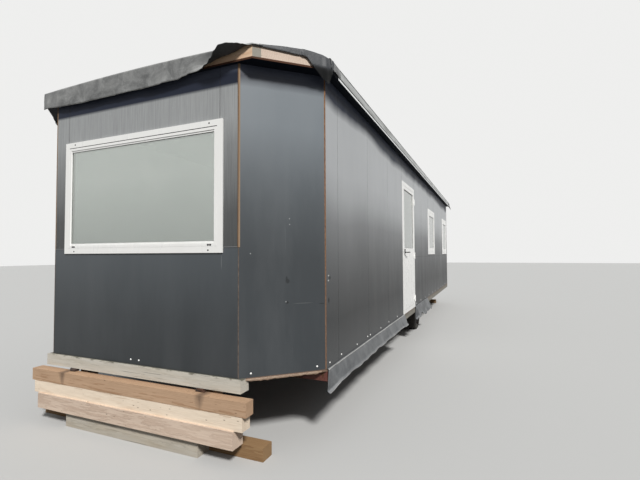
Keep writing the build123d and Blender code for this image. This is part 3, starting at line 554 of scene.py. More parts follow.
def frame_finishes():
    """The material of every node that the render shows."""
    side_sheet = film_sheet("film_sheet_side", (1, 0, 0), SIDE_TONE_AND_SHEEN, 0.12, (2.68, 2.785), (0.97, 1.0, 1.03),
                            closed=True, spots=SIDE_MARKS)
    canted_sheet = film_sheet("film_sheet_canted", (abs(CANT_NORMAL.x), abs(CANT_NORMAL.y), 0), CANTED_TONE_AND_SHEEN,
                              painted_shade_band=(2.735, 2.82), spots=CANTED_MARKS)
    core = plywood("wall_lining", (0.33, 0.24, 0.155), (0.42, 0.30, 0.19), (0.22, 0.13, 0.07), (1, 1, 0),
                   outside=True)
    # The soffit is painted near black: partly its dark film, and partly painted shade under the eave
    soffit = plywood("soffit_sheet", (0.007, 0.009, 0.014), (0.13, 0.062, 0.038), (0.045, 0.022, 0.014),
                     ends_only=True, shine=0.05)
    chassis = steel("red_oxide_steel", (0.105, 0.032, 0.024), (0.16, 0.060, 0.042), (0.10, 0.042, 0.018),
                    0.6, 0.6)
    packer = steel("rusty_packer", (0.035, 0.026, 0.023), (0.06, 0.038, 0.030), (0.075, 0.032, 0.016),
                   0.8, 0.7)
    wheel = steel("wheel_steel", (0.24, 0.24, 0.25), (0.36, 0.36, 0.36), (0.15, 0.06, 0.025), 0.5, 0.45)
    tyre = two_toned("tyre_rubber", 0.8, (22, 6, 0.7), 0.35, 0.7,
                     ((0.018, 0.018, 0.018), (0.085, 0.078, 0.066)), depth=0.002)
    black = two_toned("black_coat", 0.5, (600, 3), 0, 1, ((0.004, 0.004, 0.005), (0.012, 0.012, 0.013)),
                      depth=0.0001, shine=0.06, rough=(0.42, 0.6))
    white = white_plastic()
    shared = (
        (film_sheet("film_sheet_front", (0, 1, 0), FRONT_TONE_AND_SHEEN, spots=FRONT_MARKS), "cladding_front_lower"),
        (streaked_sheet(), "cladding_front_upper"),
        (canted_sheet, "cladding_canted"),
        (side_sheet, "cladding_right cladding_left"),
        (film_sheet("film_sheet_rear", (0, 1, 0), CANTED_TONE_AND_SHEEN), "cladding_rear"),
        (plywood("deck_plywood", DECK_PLY, (0.24, 0.165, 0.115), (0.075, 0.040, 0.026)), "floor_deck"),
        (core, "wall_front walls_canted wall_right_front wall_right_over_door wall_right_rear"),
        (core, "wall_left wall_rear roof_core"),
        (white, "window_front_frame window_side_frames"),
        (white, "door_frame door_leaf door_hinges_frame door_hinges_leaf"),
        (pane_glass(), "window_glass door_glass"),
        (black, "door_handle_plates lever_handle"),
        (soffit, "soffit_board eave_boards"),
        (rubber_sheet("roof_rubber", (0.030, 0.031, 0.031), (0.16, 0.158, 0.15), 0.75), "roof_membrane"),
        (mill_metal(), "eave_trims"),
        (chassis, "chassis_beams chassis_crossmembers axle"),
        (packer, "crib_packers"),
        (wheel, "wheel_rims"),
        (tyre, "tyres"),
    )
    finishes = {name: material for material, names in shared for name in names.split()}
    for name, (*looks, marked) in TIMBERS.items():
        finishes[name] = timber(name, *looks, **marked)
    return finishes


# How far the edges of each node are worn
BEVELS = (
    (0.004, "crib_sleepers crib_ground_blocks rails_end"),
    (0.0035, "crib_beams_low crib_beams_mid crib_beams_top crib_posts"),
    (0.003, "crib_packers rails_side"),
    (0.002, "window_front_frame window_side_frames door_frame door_leaf fascia_end_beams fascia_canted"),
    (0.0015, "door_handle_plates"),
    (0.0012, "corner_battens"),
    (0.0007, "eave_trims"),
)
BEVEL_ANGLE = 40


def dress_frame():
    for name, material in frame_finishes().items():
        mesh = nodes[name].data
        mesh.materials.clear()
        mesh.materials.append(material)
        for face in mesh.polygons:
            face.material_index = 0
    for width, names in BEVELS:
        for name in names.split():
            bevel = nodes[name].modifiers.new("worn_edges", "BEVEL")
            bevel.width = width
            bevel.segments = 2
            bevel.limit_method = "ANGLE"
            bevel.angle_limit = math.radians(BEVEL_ANGLE)


# Camera, light and floor
def show(name, data):
    """A new object in the scene."""
    made = bpy.data.objects.new(name, data)
    bpy.context.scene.collection.objects.link(made)
    return made


def make_camera():
    level = Vector((math.sin(CAMERA_YAW), math.cos(CAMERA_YAW), 0))
    side = Vector((level.y, -level.x, 0))
    top = Vector((0, 0, 1))
    ahead = level * math.cos(CAMERA_PITCH) + top * math.sin(CAMERA_PITCH)
    above = top * math.cos(CAMERA_PITCH) - level * math.sin(CAMERA_PITCH)
    right = side * math.cos(CAMERA_ROLL) + above * math.sin(CAMERA_ROLL)
    upward = above * math.cos(CAMERA_ROLL) - side * math.sin(CAMERA_ROLL)
    camera = show("camera", bpy.data.cameras.new("camera"))
    camera.data.sensor_width = SENSOR_WIDTH
    camera.data.lens = FOCAL_PIXELS * SENSOR_WIDTH / IMAGE_WIDTH
    turn = Matrix((right, upward, -ahead)).transposed()
    camera.matrix_world = Matrix.Translation(CAMERA_PLACE) @ turn.to_4x4()
    bpy.context.scene.camera = camera


def make_world():
    """A pale studio that lights the part more from overhead, and shows one even background."""
    world = bpy.data.worlds.new("studio")
    bpy.context.scene.world = world
    sky = Tree(world)
    height = sky.node("SeparateXYZ", {0: sky.node("TexCoord").outputs["Generated"]}).outputs["Z"]
    lighting = sky.tree.nodes["Background"]
    sky.put(lighting.inputs["Color"], SKY_COLOUR)
    sky.put(lighting.inputs["Strength"], sky.spread(height, 0, 1, HORIZON_STRENGTH, SKY_STRENGTH))
    shown = sky.node("Background", {"Color": BACKGROUND})
    choose = sky.node("MixShader", {0: sky.seen_ray(), 1: lighting.outputs[0], 2: shown.outputs[0]})
    sky.put(sky.tree.nodes["World Output"].inputs["Surface"], choose.outputs[0])


def make_sun():
    """A soft high light from in front of the canted corner, as through thin cloud."""
    sun = show("sun", bpy.data.lights.new("sun", "SUN"))
    sun.data.energy = SUN_STRENGTH
    sun.data.angle = math.radians(SUN_SPREAD)
    sun.data.color = SUN_COLOUR
    elevation = math.radians(SUN_ELEVATION)
    towards = CANT_NORMAL * math.cos(elevation) + Vector((0, 0, math.sin(elevation)))
    sun.rotation_mode = "QUATERNION"
    sun.rotation_quaternion = towards.to_track_quat("Z", "Y")


def make_floor():
    signs = ((-1, -1), (1, -1), (1, 1), (-1, 1))
    corners = [(x * FLOOR_REACH, y * FLOOR_REACH, -FLOOR_DEPTH) for x, y in signs]
    mesh = bpy.data.meshes.new("floor")
    mesh.from_pydata(corners, [], [(0, 1, 2, 3)])
    paint = Paint("floor", 0.9, Specular_IOR_Level=0.1)
    paint.colour = paint.mix(paint.seen_ray(), FLOOR_LIT, FLOOR_SEEN)
    mesh.materials.append(paint.finish())
    show("floor", mesh)


# Loose rubber sheets
SHEET_THICK = 0.003

# How far a sheet lies on the roof before its edge
SHEET_LAP = 0.09

# How finely its cross-section is modelled, and worked out
STEPS_ACROSS = 30
FINE_STEPS = 240

# The thickened free edge, and the roll under a skirt's rim
HEM_RADIUS = SHEET_THICK * 0.85
HEM_SIDES = 6
ROLL_RADIUS = SHEET_THICK * 1.7
ROLL_DOWN = 0.008

# How far from a corner of the roof's edge the outward direction starts to turn
CORNER_EASE = 0.05

# Where the roof's edge turns from the front to the canted side, and from there to the long side
MITRE = Vector((
    CORNER_X + (CANT_OVERHANG - (ROOF_FRONT - FRONT) * CANT_NORMAL.y) / CANT_NORMAL.x,
    ROOF_FRONT,
))
TURN = Vector((
    EAVE_X,
    FRONT + (CANT_OVERHANG - (EAVE_X - CORNER_X) * CANT_NORMAL.x) / CANT_NORMAL.y,
))


def roof_height(x):
    """The top of the cambered roof."""
    return ROOF_CROWN - ROOF_RISE * (x / EAVE_X) ** 2


def between(rows, place, eased=True):
    """The values of a short list of (place, values...) rows, eased or taken straight from row to row."""
    if place <= rows[0][0]:
        return rows[0][1:]
    for low, high in zip(rows, rows[1:]):
        if place <= high[0]:
            share = (place - low[0]) / (high[0] - low[0])
            share = smooth(share) if eased else share
            return tuple(a + (b - a) * share for a, b in zip(low[1:], high[1:]))
    return rows[-1][1:]


def section(length, turns):
    """A cross-section as (out, up) points: it starts level and turns by each (start, over, degrees)."""
    step = length / FINE_STEPS
    out = up = 0.0
    points = [(0.0, 0.0)]
    for index in range(FINE_STEPS):
        along = (index + 0.5) * step
        angle = math.radians(sum(degrees * smooth((along - start) / over) for start, over, degrees in turns))
        out += math.cos(angle) * step
        up += math.sin(angle) * step
        points.append((out, up))
    return [points[round(index * FINE_STEPS / STEPS_ACROSS)] for index in range(STEPS_ACROSS + 1)]


def make_piece(name, vertices, faces, material, body="building", shade_smooth=False):
    mesh = bpy.data.meshes.new(name)
    mesh.from_pydata([tuple(v) for v in vertices], [], faces)
    mesh.materials.append(material)
    mesh.update()
    if shade_smooth:
        mesh.polygons.foreach_set("use_smooth", [True] * len(mesh.polygons))
    piece = show(name, mesh)
    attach(piece, body)
    return piece


def grid_faces(rows, columns):
    return [
        (r * columns + c, r * columns + c + 1, (r + 1) * columns + c + 1, (r + 1) * columns + c)
        for r in range(rows - 1)
        for c in range(columns - 1)
    ]


def skin(rings, sides, foot=True):
    """The faces round a form made of rings of points: its sides, its foot if that is closed, and its top."""
    faces = []
    for first in range(0, rings * sides - sides, sides):
        for side in range(sides):
            after = (side + 1) % sides
            faces.append((first + side, first + after, first + sides + after, first + sides + side))
    if foot:
        faces.append(tuple(range(sides - 1, -1, -1)))
    return faces + [tuple(range(rings * sides - sides, rings * sides))]


def hem_piece(name, line, material, radius=HEM_RADIUS):
    """The thickened free edge of a sheet, along the line of its rim."""
    points = []
    for index, place in enumerate(line):
        along = line[min(index + 1, len(line) - 1)] - line[max(index - 1, 0)]
        across = along.normalized().orthogonal().normalized()
        above = along.normalized().cross(across)
        for side in range(HEM_SIDES):
            angle = 2 * math.pi * side / HEM_SIDES
            points.append(place + (across * math.cos(angle) + above * math.sin(angle)) * radius)
    return make_piece(name, points, skin(len(line), HEM_SIDES), material, shade_smooth=True)


def sheet_piece(name, rows, material, replaced=(), rim=None, roll=None):
    """A sheet from rows of points, thickened and hemmed; the nodes that it replaces are hidden."""
    columns = len(rows[0])
    vertices = [point for row in rows for point in row]
    piece = make_piece(name, vertices, grid_faces(len(rows), columns), material, shade_smooth=True)
    thick = piece.modifiers.new("thickness", "SOLIDIFY")
    thick.thickness = SHEET_THICK
    thick.offset = 0
    hems = [hem_piece(name + "_hem", [row[-1] for row in rows], rim or material)]
    if roll:
        hems.append(hem_piece(name + "_roll", roll, rim or material, ROLL_RADIUS))
    if replaced:
        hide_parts(*replaced)


def edge_rows(path, shape, seed, ripple):
    """Rows of points for a sheet that lies on the roof and goes over its edge.

    path gives the edge point and the outward direction; shape(distance) gives the length past the edge, the
    turns after it, and how far it stands out and up; ripple is how far it waves at its free edge."""
    rows = []
    for distance, edge, outward in path:
        length, turns, pleat, raised = shape(distance)
        reach = SHEET_LAP + length
        lap = section(reach, [(SHEET_LAP + start, over, degrees) for start, over, degrees in turns])
        row = []
        for index, (out, up) in enumerate(lap):
            past = max(0.0, index / STEPS_ACROSS * reach - SHEET_LAP) / max(length, 0.02)
            wave = drift(distance * 7.0, past * 0.8, seed)
            wave += 0.45 * drift(distance * 19.0, past * 2.2, seed + 9)
            place = edge + outward * (out - SHEET_LAP + ripple * past * wave + pleat * min(1.0, past * 1.6))
            lift = SHEET_THICK * 0.6 + ripple * 0.35 * past * drift(distance * 5, 3.3, seed)
            lift += raised * smooth(1 + (out - SHEET_LAP) / SHEET_LAP)
            top = roof_height(edge.x if past > 0 else place.x)
            row.append(Vector((place.x, place.y, top + up + lift)))
        rows.append(row)
    return rows


def edge_path(points, step, side=1):
    """Stations along the roof's edge, with the outward direction eased round its corners."""
    flat = [Vector((p[0] * side, p[1])) for p in points]
    lengths = [(b - a).length for a, b in zip(flat, flat[1:])]
    outs = [Vector(((b - a).y, -(b - a).x)).normalized() * side for a, b in zip(flat, flat[1:])]
    total = sum(lengths)
    count = round(total / step)
    path = []
    for index in range(count + 1):
        distance = total * index / count
        run, past = 0, distance
        while run < len(lengths) - 1 and past > lengths[run]:
            past -= lengths[run]
            run += 1
        edge = flat[run] + (flat[run + 1] - flat[run]) * (past / lengths[run])
        outward = outs[run].copy()
        left = lengths[run] - past
        if run + 1 < len(outs) and left < CORNER_EASE:
            outward = outs[run].lerp(outs[run + 1], 0.5 * (1 - left / CORNER_EASE))
        elif run > 0 and past < CORNER_EASE:
            outward = outs[run].lerp(outs[run - 1], 0.5 * (1 - past / CORNER_EASE))
        path.append((distance, edge.to_3d(), outward.to_3d().normalized()))
    return path


# The front flap hangs down the beam. Towards its right end it lies less far down, and flares out from there
# into a level tongue. Each row gives x, the length past the edge, where along it the sheet flares, and by how
# many degrees.
FRONT_FLAP = (
    (-1.155, 0.160, 0.140, 0), (-0.60, 0.186, 0.160, 0), (0.00, 0.190, 0.150, 3), (0.20, 0.190, 0.148, 4),
    (0.46, 0.176, 0.134, 6), (0.54, 0.162, 0.120, 10), (0.60, 0.152, 0.110, 16), (0.66, 0.150, 0.098, 26),
    (0.72, 0.150, 0.084, 40), (0.78, 0.152, 0.070, 55), (0.84, 0.159, 0.058, 74), (0.90, 0.170, 0.050, 92),
    (0.95, 0.180, 0.046, 104), (1.00, 0.160, 0.036, 105), (1.03, 0.134, 0.030, 104),
    (1.06, 0.098, 0.024, 102), (1.10, 0.048, 0.016, 94), (1.135, 0.025, 0.014, 50),
    (1.155, 0.019, 0.016, 0), (1.23, 0.016, 0.010, 0),
)
FLAP_PAST_MITRE = 0.075
FLAP_STEP = 0.012
FLAP_BEND = (-0.002, 0.018, -90)
FLARE_OVER = 0.2

# The tongue lies nearer to the wall than the rest of the flap
TONGUE_FROM, TONGUE_TO = 0.60, 1.08
TONGUE_NEARER = 0.011

# On the canted side the sheet lies a little proud of the roof as a rolled band, and ends in a folded triangle
# that hangs from the corner. Each row gives the distance before the corner, the drop below the roof's top,
# how far it stands out, and how far it stands up.
CORNER_DROP = (
    (-0.034, 0.020, 0.010, 0.002), (-0.022, 0.070, 0.010, 0.001), (-0.010, 0.110, 0.008, 0.001),
    (0.002, 0.140, 0.004, 0.001), (0.016, 0.180, 0.006, 0.002), (0.028, 0.208, 0.010, 0.006),
    (0.040, 0.200, 0.018, 0.012), (0.072, 0.166, 0.006, 0.020), (0.100, 0.136, 0.007, 0.023),
    (0.124, 0.108, 0.006, 0.026), (0.156, 0.073, 0.006, 0.029), (0.174, 0.050, 0.006, 0.030),
    (0.192, 0.030, 0.006, 0.031), (0.210, 0.021, 0.007, 0.032), (0.232, 0.020, 0.008, 0.031),
    (0.240, 0.019, 0.001, 0.029), (0.300, 0.020, 0.002, 0.025), (0.340, 0.018, 0.002, 0.023),
    (0.380, 0.017, 0.002, 0.020), (0.420, 0.017, 0.002, 0.016), (0.460, 0.017, 0.002, 0.011),
    (0.500, 0.016, 0.002, 0.006), (0.550, 0.014, 0.002, 0.002), (0.615, 0.012, 0.002, 0.001),
)
CORNER_FROM = 0.05
CORNER_PAST = 0.034
CORNER_STEP = 0.006
CORNER_SLACK = 0.006
CORNER_BEND = (0.0, 0.012, -89)

# Below the fascia the folded triangle leans in towards the wall, so far and from this depth on
TUCK_IN = 0.090
TUCK_DEPTH = 0.066
TUCK_OVER = 0.15
TUCK_WAY = CANT_ALONG * 0.40 - CANT_NORMAL + Vector((0, 0, 0.48))

# Past the triangle the membrane is turned down over the eave board as far as the strip, in shallow wrinkles
EAVE_RETURN = 0.19
RETURN_OVERLAP = 0.012
RETURN_DROP = 0.079
RETURN_OUT = 0.006
RETURN_UP = 0.004
CREASES = 26

# The rear flap starts this far along each side, and hangs lowest a little way round each corner
REAR_REACH = 0.10
REAR_STEP = 0.022
REAR_DROP = 0.062
REAR_TAIL = 0.150
REAR_TAIL_AT = 0.07
REAR_TAIL_WIDTH = 0.045
REAR_BENDS = ((-0.006, 0.028, -88), (0.05, 0.05, 16))

SIDES = ((1, "right"), (-1, "left"))


def draped(name, rows, material, replaced=(), rim=None):
    """A sheet that lies on the roof."""
    sheet_piece(name, rows, material, replaced, rim)


def front_flap(material, rim):
    end = MITRE.x
    path = edge_path([(-end, ROOF_FRONT), MITRE, MITRE + CANT_ALONG.xy * FLAP_PAST_MITRE], FLAP_STEP)

    def shape(distance):
        place = distance - end
        length, bend, back = between(FRONT_FLAP, place)
        nearer = TONGUE_NEARER * smooth((place - TONGUE_FROM) / 0.12) * smooth((TONGUE_TO - place) / 0.06)
        return length, [FLAP_BEND, (bend, length * FLARE_OVER, back)], -nearer, 0.0

    rows = edge_rows(path, shape, seed=4.0, ripple=0.013)
    draped("front_flap", rows, material, ["membrane_flap_front"], rim)


def corner_flap(material, side, word):
    start = MITRE + CANT_ALONG.xy * CORNER_FROM
    cant_length = (TURN - start).length
    path = edge_path([start, TURN, (TURN.x, TURN.y + CORNER_PAST)], CORNER_STEP, side)

    def shape(distance):
        drop, pleat, raised = between(CORNER_DROP, cant_length - distance, eased=False)
        return drop + raised + CORNER_SLACK, [CORNER_BEND], pleat, raised

    rows = edge_rows(path, shape, seed=11.0 + side, ripple=0.003)
    for point in (point for row in rows for point in row):
        depth = roof_height(point.x) - point.z - TUCK_DEPTH
        point += mirrored(side, TUCK_WAY) * (TUCK_IN * smooth(depth / TUCK_OVER))
    draped("corner_flap_" + word, rows, material, ["membrane_flaps_corner"] if side > 0 else [])


def eave_return(material, side, word):
    path = edge_path([(TURN.x, TURN.y - RETURN_OVERLAP), (TURN.x, TURN.y + EAVE_RETURN)], CORNER_STEP, side)

    def shape(distance):
        left = max(0.0, 1 - distance / EAVE_RETURN)
        crease = 0.5 + 0.5 * math.sin(CREASES * left)
        pleat = RETURN_OUT - RETURN_UP * left + RETURN_OUT * crease * left
        return RETURN_DROP + RETURN_UP * left, [CORNER_BEND], pleat, RETURN_UP * left

    rows = edge_rows(path, shape, seed=31.0 + side, ripple=0.004)
    draped("eave_return_" + word, rows, material)


def rear_flap(material):
    """The membrane's rear edge, folded over the fascia, and longer where it turns each corner."""
    near = ROOF_REAR - REAR_REACH
    path = edge_path([(EAVE_X, near), (EAVE_X, ROOF_REAR), (-EAVE_X, ROOF_REAR), (-EAVE_X, near)], REAR_STEP)
    total = path[-1][0]

    def shape(distance):
        end = min(distance, total - distance)
        return REAR_DROP + REAR_TAIL * hump(end - REAR_TAIL_AT, REAR_TAIL_WIDTH), REAR_BENDS, 0.0, 0.0

    draped("rear_flap", edge_rows(path, shape, seed=23.0, ripple=0.012), material)


# The skirts under the side walls: a rim at the wall, a drop, and a hem that kicks out. Angles are in degrees.
SKIRT_STEP = 0.02
SKIRT_RIM = 0.008
SKIRT_BEND = 0.012
SKIRT_LEAN = 9
SKIRT_END = 0.22
SKIRT_FOLD = 0.30
SKIRT_TAIL = 0.06
TAIL_WIDTH = 0.09
END_LONGER = 0.07
HEM_WAVE = 0.42
HEM_AT = 0.82
HEM_KICK = 34
HEM_CURL = 24
SKIRT_WAVE = 0.011
RAGGED_WAVE = 0.026
WAVE_DEPTH = 0.18
RIM_SAG = 0.003
HEM_OUT = 0.012
SKIRT_OFF = 0.002
DOOR_GAPS = (0.004, 0.01)


def skirt(name, y0, y1, side, material, rim, replaced=(), *, seed, ragged, drop):
    """A loose skirt tucked under the wall: a dusty rim, then a rippled drop with an uneven hem.

    The lower corner of its front end is folded back about a diagonal crease, and its tip curls outwards."""
    count = round((y1 - y0) / SKIRT_STEP)
    rows, roll = [], []
    for index in range(count + 1):
        y = y0 + (y1 - y0) * index / count
        front_end, rear_end = hump(y - y0, SKIRT_END), hump(y1 - y, SKIRT_END)
        hem = drift(y * 1.7, seed, 0) + 0.5 * drift(y * 6.1, seed, 2)
        length = drop * (1 + ragged * HEM_WAVE * hem + END_LONGER * rear_end)
        length += SKIRT_TAIL * hump(y - y0, TAIL_WIDTH)
        lean = SKIRT_LEAN + SKIRT_LEAN * rear_end + 7 * drift(y * 1.3, seed, 5)
        kick = HEM_KICK - HEM_CURL * ragged + HEM_CURL * front_end + 12 * drift(y * 2.6, seed, 7)
        bend = SKIRT_RIM * (1 - 0.5 * front_end)
        sag = RIM_SAG * drift(y * 3.0, seed, 8)
        row = []
        for out, up in section(length, [(bend, SKIRT_BEND, -90 + lean), (length * HEM_AT, 0.02, kick)]):
            past = min(1.0, max(0.0, -up) / WAVE_DEPTH)
            fold = drift(y * 4.2, past * 0.6, seed + 3) + 0.5 * drift(y * 11.0, past * 1.8, seed + 6)
            ripple = (SKIRT_WAVE + RAGGED_WAVE * ragged) * past * fold
            folded = SKIRT_FOLD * max(0.0, -up - (y - y0))
            stand = SKIRT_OFF + out + ripple + HEM_OUT * past - folded
            row.append(Vector((side * (HALF_WIDTH + stand), y, DECK_TOP + SKIRT_OFF + up + sag)))
        rows.append(row)
        roll.append(row[round(STEPS_ACROSS * (bend + ROLL_DOWN) / length)])
    sheet_piece(name, rows, material, replaced, rim, roll)


def rubber_pieces():
    dusty = rubber_sheet("dusty_rubber", (0.105, 0.108, 0.109), (0.40, 0.405, 0.40), 0.85)
    dark = rubber_sheet("dark_rubber", (0.020, 0.023, 0.028), (0.075, 0.079, 0.086), 0.35)
    foil = rubber_sheet("skirt_foil", (0.070, 0.075, 0.081), (0.27, 0.275, 0.28), 0.65)
    silvery = rubber_sheet("silvery_rubber", (0.12, 0.122, 0.124), (0.40, 0.40, 0.40), 0.9)
    rim = rubber_sheet("worn_rim", (0.16, 0.16, 0.158), (0.42, 0.42, 0.41), 0.9)
    front_flap(dusty, rim)
    for side, word in SIDES:
        corner_flap(dark, side, word)
    for side, word in SIDES:
        eave_return(silvery, side, word)
    rear_flap(dark)
    door_front, door_rear = DOOR_LOW.y - DOOR_GAPS[0], DOOR_HIGH.y + DOOR_GAPS[1]
    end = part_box("skirt_flap_left")[1].y
    skirt("skirt_right_front", SIDE_START, door_front, 1, foil, rim, ["skirt_flaps_right"],
          seed=2.0, ragged=0.12, drop=0.155)
    skirt("skirt_right_rear", door_rear, end, 1, foil, foil, seed=5.0, ragged=0.95, drop=0.205)
    skirt("skirt_left", SIDE_START, end, -1, foil, rim, ["skirt_flap_left"],
          seed=8.0, ragged=0.30, drop=0.165)


# Small fittings
def fit(name, parts, material, body="building", shade_smooth=False):
    """One piece from several parts, each a list of points and a list of faces."""
    vertices, faces = [], []
    for points, loops in parts:
        start = len(vertices)
        vertices += points
        faces += [tuple(start + index for index in loop) for loop in loops]
    make_piece(name, vertices, faces, material, body, shade_smooth)


def turned(place, normal, profile, sides=14):
    """A turned form that stands on an upright face: profile is (radius, height) from the rim to the top."""
    out = Vector(normal).normalized()
    across = Vector((0, 0, 1)).cross(out).normalized()
    above = out.cross(across)
    points = []
    for radius, height in profile:
        for index in range(sides):
            angle = 2 * math.pi * index / sides
            round_point = (across * math.cos(angle) + above * math.sin(angle)) * radius
            points.append(Vector(place) + round_point + out * height)
    return points, skin(len(profile), sides, foot=False)


def bar(start, end, width, height, outward, chamfer=0.15):
    """A bar between two points with its edges eased; outward is the way that its top looks."""
    start, end = Vector(start), Vector(end)
    out = Vector(outward).normalized()
    side = (end - start).normalized().cross(out)
    half, ease = width / 2, min(width, height) * chamfer
    flat, shoulder = half - ease, height - ease
    outline = ((-half, 0), (-half, shoulder), (-flat, height), (flat, height), (half, shoulder), (half, 0))
    points = [base + side * a + out * b for base in (start, end) for a, b in outline]
    return points, skin(2, len(outline))


def boxes_of(name):
    """The lowest and highest corners of each separate solid of a node."""
    mesh = nodes[name].data
    lead = {}

    def find(key):
        while lead[key] != key:
            lead[key] = lead[lead[key]]
            key = lead[key]
        return key

    keys = [tuple(round(c, 4) for c in vertex.co) for vertex in mesh.vertices]
    for key in keys:
        lead.setdefault(key, key)
    for face in mesh.polygons:
        first = find(keys[face.vertices[0]])
        for index in face.vertices[1:]:
            lead[find(keys[index])] = first
    groups = {}
    for key in lead:
        groups.setdefault(find(key), []).append(key)
    return [tuple(Vector(pick(k[a] for k in group) for a in range(3)) for pick in (min, max))
            for group in groups.values()]


def panes(front):
    """The boxes of the front window's pane, or of the panes in the sides."""
    return [(low, high) for low, high in boxes_of("window_glass") if (high.x - low.x > 0.5) == front]


def outer_side(low, high):
    """Which side of the caravan a box is on, and how far out its outer and its inner face are."""
    return (1, high.x, low.x) if high.x > 0 else (-1, low.x, high.x)


FRONTWARDS = Vector((0, -1, 0))

# The seals round the panes
SEAL_WIDTH = 0.004
SEAL_RISE = 0.002


def gasket(low, high, width=SEAL_WIDTH):
    """A seal round the outer face of one pane."""
    size = high - low
    thin = min(range(3), key=lambda axis: size[axis])
    wide = 1 - thin
    sign = 1 if low[thin] + high[thin] > 0 else -1
    face = high[thin] if sign > 0 else low[thin]
    out = Vector([sign if axis == thin else 0 for axis in range(3)])

    def spot(across, z):
        point = Vector((0, 0, z))
        point[thin], point[wide] = face, across
        return point

    near, far = low[wide], high[wide]
    ends = [(spot(across, low.z), spot(across, high.z)) for across in (near + width / 2, far - width / 2)]
    ends += [(spot(near + width, z), spot(far - width, z)) for z in (low.z + width / 2, high.z - width / 2)]
    return [bar(*pair, width, SEAL_RISE, out) for pair in ends]


# The caps on the foot's screws, and where they sit along each wall. Every turned profile is (radius, height).
CAP = ((0.0075, 0.0), (0.0072, 0.0016), (0.0055, 0.0034), (0.0028, 0.0044))
CAP_ROW = DECK_TOP + 0.038
CANTED_CAP_ROW = DECK_TOP + 0.030
CAP_WANDER = 0.004
SIDE_SCREWS = (
    -4.53, -4.26, -3.82, -3.46, -3.36, -2.91, -2.51, -2.01, -0.42, 0.05, 0.61, 1.12, 1.68, 2.20, 2.74, 3.31,
    3.85, 4.36, 4.92,
)
CANTED_SCREWS = (0.092, 0.609)
FRONT_SCREW = 0.045
REAR_SCREWS = (0.18, 0.70, 1.21)


def screw_caps(material):
    """White caps on the screws along the foot of the sheets."""
    parts = []
    for side in (1, -1):
        for index, y in enumerate(SIDE_SCREWS):
            z = CAP_ROW + CAP_WANDER * math.sin(index * 2.3)
            parts.append(turned((side * HALF_WIDTH, y, z), (side, 0, 0), CAP))
        for along in CANTED_SCREWS:
            foot = Vector((CORNER_X, FRONT, CANTED_CAP_ROW)) + CANT_ALONG * along
            parts.append(turned(mirrored(side, foot), mirrored(side, CANT_NORMAL), CAP))
        parts.append(turned((side * FRONT_SCREW, FRONT, CAP_ROW), FRONTWARDS, CAP))
        for x in REAR_SCREWS:
            parts.append(turned((side * x, REAR, CAP_ROW), -FRONTWARDS, CAP))
    fit("screw_caps", parts, material, shade_smooth=True)


# The beads that hold the front pane, and the groove round its frame
BEAD = 0.015
BEAD_SIDE = 0.004
BEAD_RISE = 0.0085
GROOVE_AT = 0.0505
GROOVE_DEEP = 0.0069
GROOVE_BEAD = 0.0044
GROOVE_BEAD_RISE = 0.0066
# The dark bar painted as shade along the top of the groove
GROOVE_SHADE_WIDTH = 0.0075
GROOVE_SHADE_RISE = 0.0073


def front_beads(white):
    """White glazing beads over the edges of the front pane, wider along the top and the bottom."""
    low, high = panes(front=True)[0]
    y = low.y
    parts = []
    for z in (low.z + BEAD / 2, high.z - BEAD / 2):
        parts.append(bar((low.x, y, z), (high.x, y, z), BEAD, BEAD_RISE, FRONTWARDS))
    for x in (low.x + BEAD_SIDE / 2, high.x - BEAD_SIDE / 2):
        parts.append(bar((x, y, low.z + BEAD), (x, y, high.z - BEAD), BEAD_SIDE, BEAD_RISE, FRONTWARDS))
    fit("front_glazing_beads", parts, white)
    inset = Vector((BEAD_SIDE, 0, BEAD))
    return low + inset, high - inset


def groove_shade_and_beads(dark, white):
    """Along the top of the front window's frame, a dark bar in the groove as painted shade; white beads in
    the groove elsewhere.
    """
    low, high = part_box("window_front_frame")
    x0, x1, z0, z1 = low.x + GROOVE_AT, high.x - GROOVE_AT, low.z + GROOVE_AT, high.z - GROOVE_AT
    y = low.y + GROOVE_DEEP
    seal = bar((x0, y, z1), (x1, y, z1), GROOVE_SHADE_WIDTH, GROOVE_SHADE_RISE, FRONTWARDS)
    fit("window_groove_painted_shade", [seal], dark)
    ends = (((x0, y, z0), (x0, y, z1)), ((x1, y, z0), (x1, y, z1)), ((x0, y, z0), (x1, y, z0)))
    parts = [bar(*pair, GROOVE_BEAD, GROOVE_BEAD_RISE, FRONTWARDS) for pair in ends]
    fit("window_groove_beads", parts, white)


# The edge of the lower front sheet at each corner
EDGE_WIDTH = 0.0075
EDGE_RISE = 0.0024
EDGE_SUNK = 0.0015
EDGE_FOOT = 0.004
EDGE_TOP = 0.005


def corner_edges(material):
    """The raw edge of the lower front sheet, where it laps the canted sheet."""
    out = (CANT_NORMAL + FRONTWARDS).normalized()
    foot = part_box("cladding_front_lower")[0].z + EDGE_FOOT
    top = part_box("cladding_front_upper")[0].z - EDGE_TOP
    parts = []
    for side in (1, -1):
        way = mirrored(side, out)
        place = Vector((side * CORNER_X, FRONT, 0)) - way * EDGE_SUNK
        ends = (place + Vector((0, 0, z)) for z in (foot, top))
        parts.append(bar(*ends, EDGE_WIDTH, EDGE_RISE, way))
    fit("front_corner_edges", parts, material)


def glazing_seals(material, white):
    front = front_beads(white)
    parts = [part for low, high in panes(front=False) for part in gasket(low, high)]
    fit("window_seals", parts + gasket(*front, width=SEAL_WIDTH / 2), material)
    parts = [part for low, high in boxes_of("door_glass") for part in gasket(low, high)]
    fit("door_glass_seal", parts, material, "door")


# The front window's screw heads, each in from the side and up or down from the foot or the top of its frame
HEAD = ((0.0065, 0), (0.0060, 0.0012), (0.003, 0.0016))
HEAD_FOOT = (0.129, 0.020)
HEAD_TOP = (0.124, 0.022)

